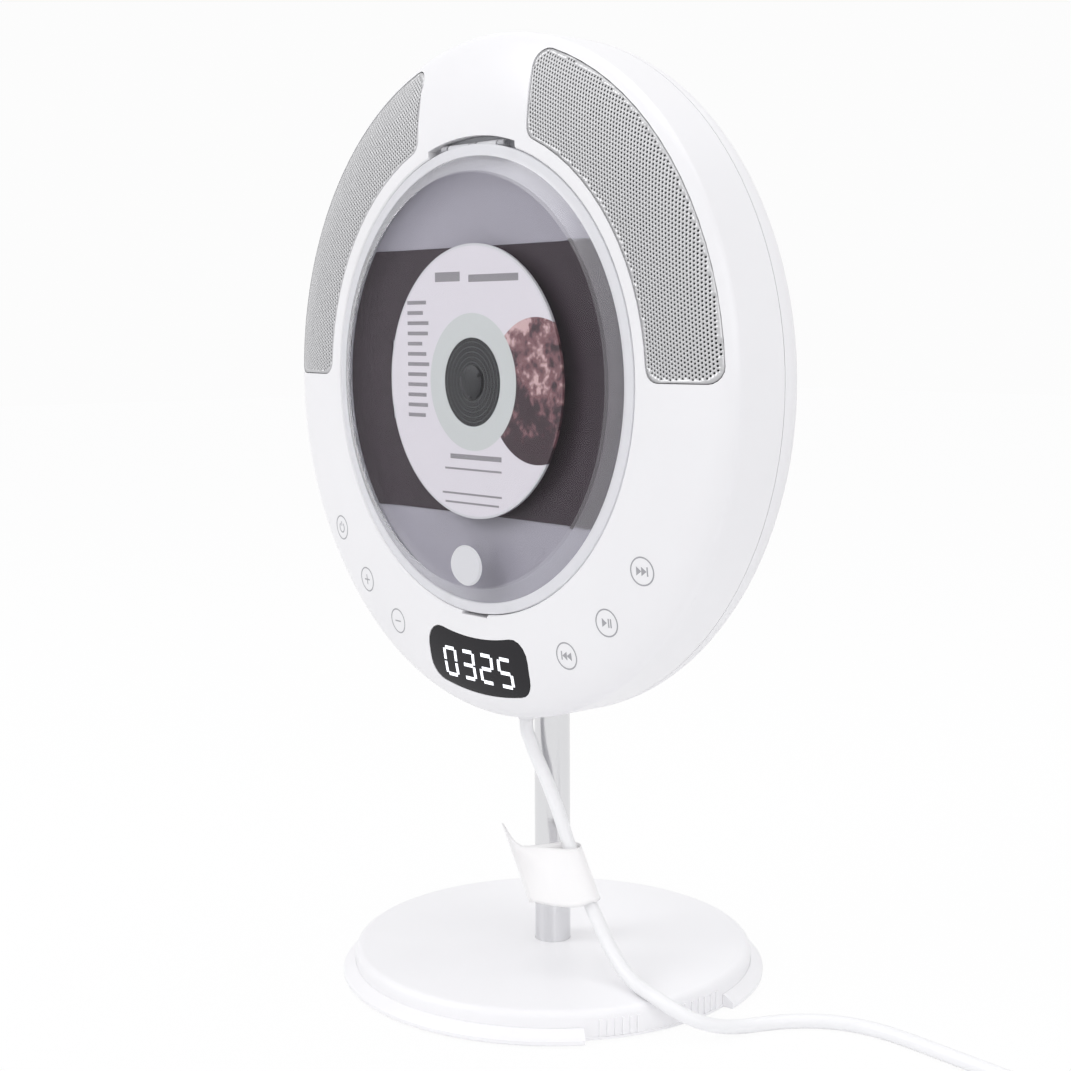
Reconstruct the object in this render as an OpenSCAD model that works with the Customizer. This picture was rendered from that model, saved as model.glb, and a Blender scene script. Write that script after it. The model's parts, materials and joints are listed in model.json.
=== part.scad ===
/* [Head] */
// Outer diameter of the round head
head_d = 299; // [285:1:320]
// Height of the disc's centre above the table
disc_height = 275; // [255:1:320]
// Distance from the disc's printed face back to the pole's axis
disc_setback = 45; // [44:0.5:46]
// Depth of the head behind the disc's printed face
head_depth = 58; // [57:0.5:66]
// Height of the front ring's crest in front of the disc's printed face
crest_f = 0.5; // [0:0.1:1.5]
// Fall of the front ring from its crest to the straight side wall
shoulder_depth = 12.8; // [10:0.1:16]
// Width of the flat rim between the window and the start of the curve
rim_w = 4.4; // [3:0.1:6]
// Depth at which the straight side wall starts to close towards the back
side_depth = 37; // [36.5:0.5:44]
// Diameter of the flat part of the back
back_flat_d = 232; // [200:1:250]
// Wall thickness of both housings
wall = 2.5; // [2:0.1:3]
// Wall thickness of the collar round the window
collar_t = 2.5; // [2:0.1:3]
// Depth of the collar round the window
collar_depth = 14; // [13.5:0.5:16]
// Gap between pieces that lie close to each other
gap = 0.3; // [0.25:0.05:0.4]

/* [Window and cover] */
// Diameter of the round window in the front ring
window_d = 205.2; // [203:0.2:208]
// Gap round the cover's edge
cover_gap = 0.45; // [0.4:0.05:0.6]
// Diameter of the cover's flat clear middle
cover_clear_d = 181; // [170:1:186]
// Width of the cover's flat edge flange
cover_flange_w = 4.5; // [3:0.5:5]
// Wall thickness of the cover
cover_t = 2; // [1.6:0.1:2.4]
// Height of the clear middle in front of the disc's printed face
cover_rise = 4.6; // [4.4:0.1:6]
// Widest angle to which the cover lifts
cover_open = 75; // [60:1:75]
// Width of the hinge recess at the top of the window
recess_w = 60; // [58:1:70]
// Height of the hinge recess above the window's edge
recess_h = 3; // [2.8:0.1:4]
// Width of the fingernail notch at the bottom of the window
notch_w = 18; // [14:1:24]
// Width and height of the frosted finger dimple on the cover
dimple_w = 22; // [16:1:26]
dimple_h = 18; // [14:1:22]
// Height of the dimple's centre below the disc's centre
dimple_drop = 80.5; // [76:0.5:81]

/* [Disc well] */
// Depth of the well's floor behind the disc's printed face
well_depth = 7; // [6.5:0.1:8]
// Wall thickness of the well
well_t = 2; // [1.8:0.1:2.2]
// Diameter of the flat floor, where the dished edge begins
well_flat_d = 164; // [150:1:168]
// Height of the printed card behind the disc
card_h = 118; // [100:1:124]
// Thickness of the card
card_t = 0.5; // [0.4:0.1:0.8]

/* [Grilles and speakers] */
// Distance from the window's edge to a grille's inner arc
grille_inset = 6.4; // [5:0.1:9]
// Distance from a grille's outer arc to the head's side
grille_margin = 4.2; // [4:0.1:8]
// Distance of a grille's upper end from the middle line
grille_side_x = 37.5; // [34:0.5:50]
// Height of a grille's lower edge above the disc's centre
grille_low = 1.7; // [0:0.1:8]
// Corner radius of a grille
grille_corner = 6.5; // [5:0.5:8]
// Thickness of the perforated sheet
grille_t = 0.8; // [0.6:0.1:1]
// Distance between holes in the perforated sheet
hole_pitch = 6; // [5.4:0.1:8]
// Width across the flats of a hole
hole_d = 3.6; // [2.4:0.1:3.8]
// Outer diameter of a speaker's frame
driver_d = 39; // [34:0.5:40]
// Angle of a speaker above the horizontal
driver_angle = 40; // [30:1:50]
// Travel of a speaker cone each way
cone_stroke = 1; // [0.5:0.1:1]

/* [Display and touch buttons] */
// Distance from the window's edge to the display's inner arc
display_inset = 10.9; // [9:0.1:13]
// Height of the display plate
display_h = 26.1; // [22:0.1:28]
// Width of the display plate
display_w = 70.6; // [62:0.2:76]
// Corner radius of the display plate
display_corner = 9.5; // [7:0.5:10]
// Thickness of the display plate
display_t = 2; // [1.6:0.1:2.4]
// Width, height and spacing of the digits
digit_w = 9.6; // [8:0.1:10]
digit_h = 14; // [12:0.1:15]
digit_pitch = 13; // [12:0.1:14]
// Radius of the ring of touch buttons
touch_r = 128.3; // [126:0.1:131]

/* [Disc and drive] */
// Diameter, hole and thickness of the compact disc
disc_d = 120; // [119:0.5:121]
disc_hole_d = 15; // [14.8:0.1:15.4]
disc_t = 1.2; // [1.1:0.1:1.3]
// Diameter of the turntable under the disc
turntable_d = 31; // [28:0.5:32]
// Diameter of the spindle shaft
spindle_d = 2; // [1.6:0.1:2.4]
// Diameter and length of the spindle motor
spindle_motor_d = 24; // [20:0.5:24]
spindle_motor_l = 11; // [8:0.5:14]
// Travel of the laser sled
sled_travel = 34; // [30:0.5:34]
// Distance of the lens from the disc's centre at the start of the disc
lens_start = 24; // [23.5:0.1:25]
// Diameter of a guide rod
rod_d = 3; // [2.5:0.1:3.2]
// Tooth size of the rack and its pinion
rack_module = 0.6; // [0.6:0.05:0.65]
// Teeth on the pinion that drives the rack
pinion_teeth = 14; // [14:1:15]
// Tooth size, and the teeth on the large feed gear and on the motor's pinion
gear_module = 0.5; // [0.5:0.05:0.5]
gear_teeth = 48; // [46:1:50]
motor_teeth = 12; // [12:1:13]
// Focus travel of the lens each way
focus_travel = 0.5; // [0.3:0.1:0.6]

/* [Pull switch] */
// Distance of the cord's exit in front of the pole's axis
exit_front = 15.5; // [15.5:0.5:17]
// Travel of the pull sleeve
pull_travel = 5; // [3:0.5:5]
// Outer diameter of the pull sleeve
sleeve_d = 8; // [7.6:0.1:8]
// Length of the sleeve that shows below the head
sleeve_show = 5; // [4:0.5:8]

/* [Stand] */
// Outer diameter of the pole
pole_d = 16.5; // [16:0.1:17]
// Wall thickness of the pole
pole_t = 1.2; // [1:0.1:1.6]
// Depth of the pole's socket in the head
socket_depth = 48; // [30:1:60]
// Diameter of the base's round cover
base_d = 185; // [170:1:200]
// Height of the base's top above the table
base_h = 13.6; // [13:0.1:18]
// Radius of the base's rounded upper edge
base_edge_r = 3.4; // [2:0.1:4]
// Wall thickness of the base's cover
base_t = 2.4; // [2:0.1:2.8]
// Width that the foot rim stands out beyond the base's cover
foot_rim_w = 5.7; // [3:0.1:8]
// Height of the foot rim's inner edge
foot_rim_h = 5.6; // [4:0.1:7]
// Thickness of the rubber feet below the rim
feet_t = 0.8; // [0.6:0.1:1.5]
// Angles between which the foot rim is cut away
cut_start = -33; // [-40:1:-31]
cut_end = 13; // [12:1:20]
// Thickness of the steel weight
weight_t = 5; // [3:0.5:5.2]

/* [Cord] */
// Diameter of the round cord
cord_d = 6.2; // [5.8:0.1:6.2]
// Turns in each layer of the coil
coil_turns = 3; // [2:1:3]
// Mean diameter of the coil
coil_d = 68; // [64:1:74]
// Distance between neighbouring turns of the coil
coil_pitch = 6.9; // [6.9:0.1:7.2]

/* [Hidden] */

$fn = 96;
eps = 0.01;
running_fit = 0.05;

// Radii of the head, measured from the disc's centre
head_r = head_d / 2;
head_in_r = head_r - wall;
window_r = window_d / 2;
collar_r = window_r + collar_t;
crest_r = window_r + rim_w;
cover_r = window_r - cover_gap;
clear_r = cover_clear_d / 2;
back_r = back_flat_d / 2;
rim_f = crest_f - 0.2;
edge_f = crest_f - shoulder_depth;
// The joint line runs just in front of the pole's socket
socket_front_t = 1.1;
socket_fit = 0.05;
pole_r = pole_d / 2;
socket_r = pole_r + socket_fit;
split_f = -(disc_setback - socket_r - socket_front_t) + gap;
back_f = -head_depth;

// Places of the hinge, in front view and towards the front
hinge_y = window_r - 1.2;
hinge_f = -1.8;
knuckle_r = 1.5;
pin_r = 0.8;
recess_r = window_r + recess_h;
recess_f = -6.4;
flange_back_f = rim_f - 2.4;
well_rim_f = flange_back_f - gap;
well_floor_f = -well_depth;
well_back_f = well_floor_f - well_t;
well_r = window_r - gap;

// Screw posts that join the two housings
post_angles = [8, 74, 106, 172, 222, 318];
post_r = 4;
post_ring_r = head_in_r - post_r - 0.9;
pilot_r = 1.25;
screw_r = 1.5;
screw_head_r = 2.9;
// The housing screws' heads lie this deep below the back, clear of the rounded edge
screw_seat = 15;

// Grilles and speakers
grille_in = window_r + grille_inset;
grille_out = head_r - grille_margin;
grille_set = 0.2;
baffle_f = edge_f + 0.6;
baffle_t = 1.5;
driver_r = driver_d / 2;
driver_ring_r = (collar_r + head_in_r) / 2;
driver_f = baffle_f - baffle_t;
driver_mouth_r = driver_r - 3;

// Display
display_in = window_r + display_inset;
display_out = display_in + display_h;

// Drive
turntable_f = -disc_t;
deck_f = -17;
deck_t = 3;
sled_start_x = -lens_start;
sled_w = 34;
rod_y = 13;
rod_f = -14.8;
rod_r = rod_d / 2;
rack_y = 18.4;
rack_f = -13;
rack_t = 2;
pinion_pitch_r = rack_module * pinion_teeth / 2;
gear_pitch_r = gear_module * gear_teeth / 2;
motor_pitch_r = gear_module * motor_teeth / 2;
mesh_gap = 0.12;
feed_x = -38;
feed_y = rack_y + pinion_pitch_r + mesh_gap;
feed_angle = 50;
motor_x = feed_x + (gear_pitch_r + motor_pitch_r + mesh_gap) * cos(feed_angle);
motor_y = feed_y + (gear_pitch_r + motor_pitch_r + mesh_gap) * sin(feed_angle);
isolator_places = [[-76, -30], [-76, 38], [20, -30], [20, 38]];
board_f = -46;

// Stand, measured from the pole's axis and the table
base_r = base_d / 2;
rim_r = base_r + foot_rim_w;
base_floor = feet_t;
weight_z = base_floor + 3;
pole_foot = weight_z + weight_t;
head_low = disc_height - head_r;
pole_top = head_low + socket_depth;

// Pull switch, measured down from the disc's centre
exit_f = exit_front - disc_setback;
sleeve_r = sleeve_d / 2;
sleeve_bore = cord_d / 2 + 0.3;
sleeve_low = head_low - sleeve_show;
inner_low = disc_height - sqrt(pow(head_in_r, 2) - 36);
seat_top = inner_low + 0.8;
collar_z = seat_top + 10.5;
collar_h = 3;
lead_end = collar_z + collar_h + gap + 3;

// Everything in the head is drawn as seen from the front, with z towards the front
module in_head() {
    translate([0, -disc_setback, disc_height]) rotate([90, 0, 0]) children();
}

function arc(r, from, to, steps, centre = [0, 0]) =
    [for (i = [0:steps]) centre + r * [cos(from + (to - from) * i / steps), sin(from + (to - from) * i / steps)]];

// Quarter ellipse of the front ring, from its crest out to the side wall, sunk by a distance
function ring_curve(sink, steps, last = 90) =
    [for (i = [0:steps]) let (t = last * i / steps)
        [crest_r + (head_r - sink - crest_r) * sin(t), crest_f - sink - (shoulder_depth - sink) * (1 - cos(t))]];

// The same curve moved straight back, for plates that lie flush in the ring
function skin_curve(back, steps) =
    [for (i = [0:steps]) let (t = 78 * i / steps)
        [crest_r + (head_r - crest_r) * sin(t), crest_f - back - shoulder_depth * (1 - cos(t))]];

// Quarter ellipse that closes the rear housing, sunk by a distance
function back_curve(sink, steps) =
    [for (i = [0:steps]) let (t = 90 * i / steps)
        [back_r + (head_r - sink - back_r) * cos(t), -side_depth - (head_depth - sink - side_depth) * sin(t)]];

// Outline of the right grille: two arcs, a level lower edge, an upright end and four rounded corners
function grille_outline(grow) =
    let (c = grille_corner, ri = grille_in - grow, ro = grille_out + grow,
        low = grille_low - grow, side = grille_side_x - grow,
        a = [sqrt(pow(ro - c, 2) - pow(low + c, 2)), low + c],
        b = [side + c, sqrt(pow(ro - c, 2) - pow(side + c, 2))],
        d = [side + c, sqrt(pow(ri + c, 2) - pow(side + c, 2))],
        e = [sqrt(pow(ri + c, 2) - pow(low + c, 2)), low + c],
        ta = atan2(a[1], a[0]), tb = atan2(b[1], b[0]), td = atan2(d[1], d[0]), te = atan2(e[1], e[0]))
    concat(arc(c, -90, ta, 5, a), arc(ro, ta, tb, 18), arc(c, tb, 180, 5, b),
        arc(c, 180, td + 180, 5, d), arc(ri, td, te, 14), arc(c, te + 180, 270, 5, e));

// Outline of the display plate at the bottom of the ring
function display_outline(grow) =
    let (c = display_corner, ri = display_in - grow, ro = display_out + grow, side = display_w / 2 + grow,
        a = [side - c, -sqrt(pow(ro - c, 2) - pow(side - c, 2))],
        b = [side - c, -sqrt(pow(ri + c, 2) - pow(side - c, 2))],
        ta = atan2(a[1], a[0]), tb = atan2(b[1], b[0]))
    concat(arc(ro, -180 - ta, ta, 12), arc(c, ta, 0, 5, a), arc(c, 0, tb + 180, 5, b),
        arc(ri, tb, -180 - tb, 12), arc(c, -tb, 180, 5, [-b[0], b[1]]), arc(c, 180, 360 - 180 - ta, 5, [-a[0], a[1]]));

// Thin plate that follows the front ring
module ring_skin(back, t) {
    rotate_extrude() polygon(concat(skin_curve(back, 10), [for (i = [10:-1:0]) skin_curve(back + t, 10)[i]]));
}

// Tooth flank of an involute gear
function involute(base, t) = [base * (cos(t) + t * PI / 180 * sin(t)), base * (sin(t) - t * PI / 180 * cos(t))];
function turned(p, a) = [p[0] * cos(a) - p[1] * sin(a), p[0] * sin(a) + p[1] * cos(a)];
function gear_points(m, n, slack) =
    let (rp = m * n / 2, rb = rp * cos(20), ra = rp + m, rr = rp - 1.25 * m,
        tmax = sqrt(pow(ra / rb, 2) - 1) * 180 / PI,
        half = 90 / n + (tan(20) - 20 * PI / 180) * 180 / PI - slack / rp * 90 / PI,
        flank = [for (i = [0:4]) involute(rb, tmax * i / 4)])
    [for (k = [0:n - 1]) let (c = 360 * k / n) each concat(
        [rr * [cos(c - half), sin(c - half)]],
        [for (p = flank) turned(p, c - half)],
        [for (i = [4:-1:0]) turned([flank[i][0], -flank[i][1]], c + half)],
        [rr * [cos(c + half), sin(c + half)]])];

module front_housing() {
    color("white") in_head() {
        difference() {
            union() {
                rotate_extrude() polygon(concat([[window_r, rim_f - 0.6], [window_r + 0.6, rim_f]],
                    ring_curve(0, 16), [[head_r, split_f], [head_in_r, split_f]],
                    [for (i = [14:-1:0]) ring_curve(wall, 14)[i]],
                    [[collar_r, crest_f - wall], [collar_r, -collar_depth], [window_r, -collar_depth]]));
                for (a = post_angles) rotate(a) {
                    translate([post_ring_r, 0, split_f]) cylinder(r = post_r, h = driver_f - split_f);
                    translate([post_ring_r, -1, split_f]) cube([head_in_r - post_ring_r + 0.5, 2, driver_f - split_f - 4]);
                }
                for (a = [0, 90, 180, 270]) rotate(a)
                    translate([collar_r + 2.2, 0, -collar_depth]) cylinder(r = 3.4, h = collar_depth - 5);
                spring_seat();
                for (s = [-1, 1]) translate([s * display_post_x, -(display_in + display_out) / 2, baffle_f + 1.6])
                    cylinder(r = 1.9, h = touch_in_f + 1.2 - baffle_f - 1.6);
                intersection() {
                    rotate_extrude() translate([window_r, recess_f - 2.2]) square([recess_h + 2.2, 8]);
                    translate([-recess_w / 2 - 2.2, 0, -20]) cube([recess_w + 4.4, head_r, 40]);
                }
            }
            for (s = [0, 1]) mirror([s, 0, 0]) translate([0, 0, edge_f])
                linear_extrude(20) polygon(grille_outline(0));
            translate([0, 0, edge_f]) linear_extrude(20) polygon(display_outline(0));
            hinge_recess(0, 0);
            translate([-notch_w / 2, -window_r - 0.9, -9]) cube([notch_w, 4, 12]);
            translate([0, 0, exit_f]) rotate([90, 0, 0]) cylinder(r = sleeve_r + gap, h = head_r + 5);
            for (a = post_angles) rotate(a)
                translate([post_ring_r, 0, split_f - 1]) cylinder(r = pilot_r, h = 15);
            for (a = [0, 90, 180, 270]) rotate(a)
                translate([collar_r + 2.2, 0, -collar_depth - 1]) cylinder(r = 1, h = 7);
        }
    }
}

// Raised ring inside the housing's lowest point, on which the return spring stands
module spring_seat() {
    intersection() {
        translate([0, 0, exit_f]) rotate([90, 0, 0])
            translate([0, 0, disc_height - seat_top]) cylinder(r = 5.6, h = 10);
        rotate_extrude() translate([head_in_r - 6, split_f]) square([7, 20]);
    }
}

// Slot above the window in which the hinge lies
module hinge_recess(side, floor) {
    intersection() {
        rotate_extrude() translate([window_r - 6, recess_f + floor])
            square([6 + recess_h - side, 12]);
        translate([-recess_w / 2 + side, 0, recess_f - 1])
            cube([recess_w - 2 * side, head_r, 20]);
    }
}

module rear_solid(sink, over) {
    rotate_extrude() polygon(concat([[0, split_f - gap + over], [head_r - sink, split_f - gap + over]],
        back_curve(sink, 12), [[0, -head_depth + sink]]));
}

module rear_housing() {
    color("whitesmoke") in_head() difference() {
        union() {
            difference() {
                rear_solid(0, 0);
                rear_solid(wall, 2);
            }
            intersection() {
                rear_solid(0, 0);
                union() {
                    for (a = post_angles) rotate(a)
                        translate([post_ring_r, 0, back_f]) cylinder(r = post_r + 0.5, h = head_depth + split_f - gap);
                    translate([0, 0, -disc_setback]) rotate([90, 0, 0])
                        translate([0, 0, head_r - socket_depth - 3]) cylinder(r = socket_r + 3, h = socket_depth + 3);
                    for (p = [[-55, -50], [55, -50], [-55, 40], [55, 40]])
                        translate([p[0], p[1], back_f + 1]) cylinder(r = 3.5, h = board_f - 1.6 - back_f - 1);
                }
            }
        }
        translate([0, 0, -disc_setback]) rotate([90, 0, 0])
            translate([0, 0, head_r - socket_depth]) cylinder(r = socket_r, h = socket_depth + 5);
        for (a = post_angles) rotate(a) translate([post_ring_r, 0, back_f - 1]) {
            cylinder(r = screw_r + 0.2, h = head_depth);
            cylinder(r = screw_head_r + 0.3, h = screw_seat + 1);
        }
        for (p = [[-55, -50], [55, -50], [-55, 40], [55, 40]])
            translate([p[0], p[1], back_f + wall + 1]) cylinder(r = 1, h = 12);
        for (x = [-60, 60]) translate([x, 60, back_f - 1]) {
            cylinder(r = 4.6, h = wall + 2);
            translate([-2.3, 0, 0]) cube([4.6, 9, wall + 2]);
            translate([0, 9, 0]) cylinder(r = 2.3, h = wall + 2);
        }
        for (i = [-5:5]) translate([i * 7 - 1.2, 84, back_f - 1]) cube([2.4, 20, wall + 2]);
        translate([audio_x, audio_y, back_f - 1]) cylinder(r = 4.3, h = wall + 2);
    }
}

audio_x = 44;
audio_y = -36;

// Staggered rows of six-sided holes inside the grille's outline
module grille_holes() {
    row = hole_pitch * sqrt(3) / 2;
    margin = hole_d / 2 + 1.1;
    for (j = [0:floor(grille_out / row)], i = [0:floor(grille_out / hole_pitch)]) {
        x = (i + (j % 2) / 2) * hole_pitch;
        y = grille_low + margin + j * row;
        r = sqrt(x * x + y * y);
        if (x > grille_side_x + margin && r > grille_in + margin && r < grille_out - margin)
            translate([x, y]) circle(d = hole_d, $fn = 6);
    }
}

module grille() {
    color("silver") in_head() intersection() {
        ring_skin(grille_set, grille_t);
        translate([0, 0, edge_f - 5]) linear_extrude(40) difference() {
            polygon(grille_outline(-gap));
            grille_holes();
        }
    }
}

module right_grille() { grille(); }
module left_grille() { mirror([1, 0, 0]) grille(); }

module speaker_baffles() {
    color([0.1, 0.1, 0.11]) in_head() for (s = [0, 1]) mirror([s, 0, 0])
        translate([0, 0, baffle_f - baffle_t]) difference() {
            linear_extrude(baffle_t) polygon(grille_outline(0.5));
            rotate(driver_angle) translate([driver_ring_r, 0, -1]) cylinder(r = driver_mouth_r, h = 5);
        }
}

// The well's front surface, from the spindle hole out over the dished edge to its rim
function well_curve(back) =
    concat([[19, well_floor_f - back], [well_flat_d / 2, well_floor_f - back]],
        [for (i = [1:5]) let (t = 90 * i / 5)
            [well_flat_d / 2 + (well_r - 4.6 - well_flat_d / 2) * sin(t) + back * 0.9 * sin(t),
                well_floor_f + (well_rim_f - well_floor_f) * (1 - cos(t)) - back * cos(t)]]);

module disc_well() {
    color([0.72, 0.7, 0.76]) in_head() difference() {
        union() {
            rotate_extrude() polygon(concat(well_curve(0), [[well_r, well_rim_f], [well_r, -collar_depth - gap],
                [well_r - well_t, -collar_depth - gap], [well_r - well_t, well_rim_f - 2.2]],
                [for (i = [5:-1:0]) well_curve(well_t)[i]]));
            for (a = [0, 90, 180, 270]) rotate(a) difference() {
                translate([well_r - 5, -4, -collar_depth - gap - 2]) cube([collar_r + 5.4 - well_r + 2, 8, 2]);
                translate([collar_r + 2.2, 0, -collar_depth - 3]) cylinder(r = 1.3, h = 5);
            }
            for (p = isolator_places)
                translate([p[0], p[1], deck_f + 0.2]) cylinder(r = 3.4, h = well_back_f - deck_f + 0.3);
        }
        translate([-66, -17, well_back_f - 3]) cube([66, 34, 8]);
        translate([0, 0, well_back_f - 3]) cylinder(r = 19.5, h = 8);
        difference() {
            hinge_recess(-0.2, -0.2);
            translate([-recess_w, 0, recess_f - 5]) cube([2 * recess_w, window_r - 5.6, 30]);
        }
        translate([-notch_w / 2, -window_r - 1, -9]) cube([notch_w, 3.6, 12]);
        for (a = latch_angles) rotate(a) translate([latch_r, 0, magnet_f]) cylinder(r = 2.05, h = 5);
        for (p = isolator_places) translate([p[0], p[1], deck_f - 1]) cylinder(r = 1.1, h = 7);
    }
}

// Two small magnets in the well's rim hold two steel keepers in the cover's edge
latch_r = window_r - 3.4;
latch_angles = [-102, -78];
magnet_f = well_rim_f - 1.5;

module album_card() {
    color([0.29, 0.25, 0.29]) in_head() intersection() {
        rotate_extrude() polygon(concat([for (i = [0:5]) well_curve(0)[i]],
            [for (i = [5:-1:0]) well_curve(0)[i] + [-card_t * 0.5, card_t]]));
        difference() {
            translate([-clear_r - 9, -card_h / 2, -20]) cube([2 * clear_r + 18, card_h, 30]);
            translate([0, 0, -20]) cylinder(r = 46, h = 30);
            translate([-68, -18, -20]) cube([68, 36, 30]);
        }
    }
}

// The cover's section: clear middle, sloping bevel and flat edge flange
function cover_front() =
    [[clear_r, cover_rise], [clear_r + 2, cover_rise - 0.7], [cover_r - cover_flange_w, rim_f + 0.6],
        [cover_r - 0.8, rim_f], [cover_r, rim_f - 0.8]];

module cover_bezel() {
    color([0.85, 0.85, 0.9, 0.35]) in_head() difference() {
        union() {
            difference() {
                rotate_extrude() polygon(concat(cover_front(), [[cover_r, flange_back_f],
                    [cover_r - cover_flange_w - 1.2, flange_back_f], [clear_r - 2, cover_rise - cover_t - 0.85],
                    [clear_r - 2, cover_rise - cover_t - 0.05], [clear_r, cover_rise - cover_t - 0.05]]));
                // Only a thin hood of the flange stays over the hinge
                translate([-recess_w / 2 + 3, hinge_y - knuckle_r - 0.9, -10]) cube([recess_w - 6, 10, 10 + hinge_f + knuckle_r + 0.05]);
            }
            for (x = [-16.5, 3]) {
                translate([x, hinge_y, hinge_f]) rotate([0, 90, 0]) cylinder(r = knuckle_r, h = 13.5);
                translate([x, hinge_y - 3.6, hinge_f - 0.1]) cube([13.5, 3.6, knuckle_r + 0.3]);
            }
        }
        translate([-40, hinge_y, hinge_f]) rotate([0, 90, 0]) cylinder(r = pin_r + running_fit, h = 80);
        for (a = latch_angles) rotate(a) translate([latch_r, 0, flange_back_f - 1]) cylinder(r = 1.55, h = 2.2);
    }
}

// Flat clear pane, held in the bezel's step
module cover_window() {
    color([0.85, 0.85, 0.9, 0.35]) in_head() translate([0, 0, cover_rise - cover_t]) cylinder(r = clear_r - 0.05, h = cover_t);
}

module finger_dimple() {
    color([0.86, 0.86, 0.9]) in_head() translate([0, -dimple_drop, cover_rise])
        scale([dimple_w / dimple_h, 1, 1]) cylinder(d1 = dimple_h, d2 = dimple_h - 1.5, h = 0.9);
}

module latch_keeper() {
    color("silver") in_head() for (a = latch_angles) rotate(a)
        translate([latch_r, 0, flange_back_f]) cylinder(r = 1.5, h = 1.2);
}

module latch_magnet() {
    color("dimgray") in_head() for (a = latch_angles) rotate(a)
        translate([latch_r, 0, magnet_f]) cylinder(r = 2, h = 1.2);
}

module hinge_bracket() {
    color([0.25, 0.25, 0.27]) in_head() difference() {
        union() {
            intersection() {
                hinge_recess(0.25, 0);
                translate([-40, window_r - 5.2, recess_f]) cube([80, 12, 2.1]);
            }
            for (x = [-21.5, -2, 17.5]) {
                translate([x, hinge_y, hinge_f]) rotate([0, 90, 0]) cylinder(r = knuckle_r, h = 4);
                translate([x, hinge_y - knuckle_r, recess_f + 0.5]) cube([4, 2 * knuckle_r, hinge_f - recess_f - 0.5]);
            }
        }
        translate([-40, hinge_y, hinge_f]) rotate([0, 90, 0]) cylinder(r = pin_r + 0.01, h = 80);
    }
}

module hinge_pin() {
    color("silver") in_head() translate([-21.8, hinge_y, hinge_f]) rotate([0, 90, 0]) cylinder(r = pin_r, h = 43.6);
}

module display_lens() {
    color([0.16, 0.16, 0.17]) in_head() intersection() {
        ring_skin(0.1, display_t);
        translate([0, 0, edge_f - 5]) linear_extrude(40) polygon(display_outline(-gap));
    }
}

// Seven bars of one digit: top, upper left, upper right, middle, lower left, lower right, bottom
module digit(bars) {
    t = 1.6;
    w = digit_w - t;
    h = (digit_h - t) / 2;
    long = w - 1.8;
    tall = h - 1.0;
    places = [[0, h, 0], [-w / 2, h / 2, 1], [w / 2, h / 2, 1], [0, 0, 0], [-w / 2, -h / 2, 1], [w / 2, -h / 2, 1],
        [0, -h, 0]];
    for (b = bars) translate([places[b][0], places[b][1]])
        square(places[b][2] == 1 ? [t, tall] : [long, t], center = true);
}

digits = [[0, 1, 2, 4, 5, 6], [0, 2, 3, 5, 6], [0, 2, 3, 4, 6], [0, 1, 3, 5, 6]];

module digit_segments() {
    color("white") in_head() intersection() {
        ring_skin(-0.1, 0.2);
        translate([0, -(display_in + display_out) / 2 - 0.3, edge_f - 5]) linear_extrude(40)
            for (i = [0:3]) translate([(i - 1.5) * digit_pitch, 0]) digit(digits[i]);
    }
}

display_post_x = display_w / 2 + 2.9;
display_low_f = skin_curve(display_t + 0.1, 10)[6][1] - 1.6;

module display_module() {
    color([0.08, 0.08, 0.09]) in_head()
        translate([-27, -display_out + 3.5, baffle_f + 1.6]) cube([54, display_h - 6, display_low_f - baffle_f - 1.6]);
}

module display_board() {
    color("darkgreen") in_head()
        translate([-display_post_x - 2.3, -display_out + 1.5, baffle_f])
            cube([2 * display_post_x + 4.6, display_h - 1.5, 1.6]);
}

module touch_board() {
    color("darkgreen") in_head() for (s = [0, 1]) mirror([s, 0, 0]) {
        translate([0, 0, edge_f + 4]) rotate([0, 0, -66]) rotate_extrude(angle = 36)
            translate([touch_r - 7, 0]) square([14, 1.2]);
        for (a = [214.6, 228.6, 242.1]) rotate(180 - a)
            translate([touch_r, 0, edge_f + 5.2]) cylinder(r = 3, h = touch_pad_h);
    }
}

touch_in_t = asin((touch_r + 3 - crest_r) / (head_in_r - crest_r));
touch_in_f = crest_f - wall - (shoulder_depth - wall) * (1 - cos(touch_in_t));
touch_pad_h = touch_in_f - gap - edge_f - 5.2;

module compact_disc() {
    color([0.93, 0.93, 0.94]) in_head() translate([0, 0, -disc_t]) difference() {
        cylinder(d = disc_d, h = disc_t, $fn = 128);
        translate([0, 0, -1]) cylinder(d = disc_hole_d, h = 4);
    }
}

module turntable() {
    color([0.07, 0.07, 0.08]) in_head() difference() {
        union() {
            translate([0, 0, turntable_f - 2]) cylinder(d = turntable_d, h = 2);
            translate([0, 0, turntable_f]) cylinder(d = disc_hole_d - 0.2, h = disc_t + 0.7);
            translate([0, 0, turntable_f + disc_t + 0.7]) cylinder(d1 = disc_hole_d - 0.2, d2 = disc_hole_d - 4, h = 0.9);
            translate([0, 0, deck_f + 2.4]) cylinder(r = 4, h = turntable_f - 2 - deck_f - 2.3);
            for (a = [30, 150, 270]) rotate(a) translate([disc_hole_d / 2 - 1.1, 0, 0.9]) sphere(r = 1, $fn = 24);
        }
        translate([0, 0, deck_f]) cylinder(r = spindle_d / 2 + 0.01, h = -deck_f - 2);
    }
}

module spindle_shaft() {
    color("silver") in_head() translate([0, 0, deck_f - 10]) cylinder(d = spindle_d, h = 8 - deck_f);
}

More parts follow.
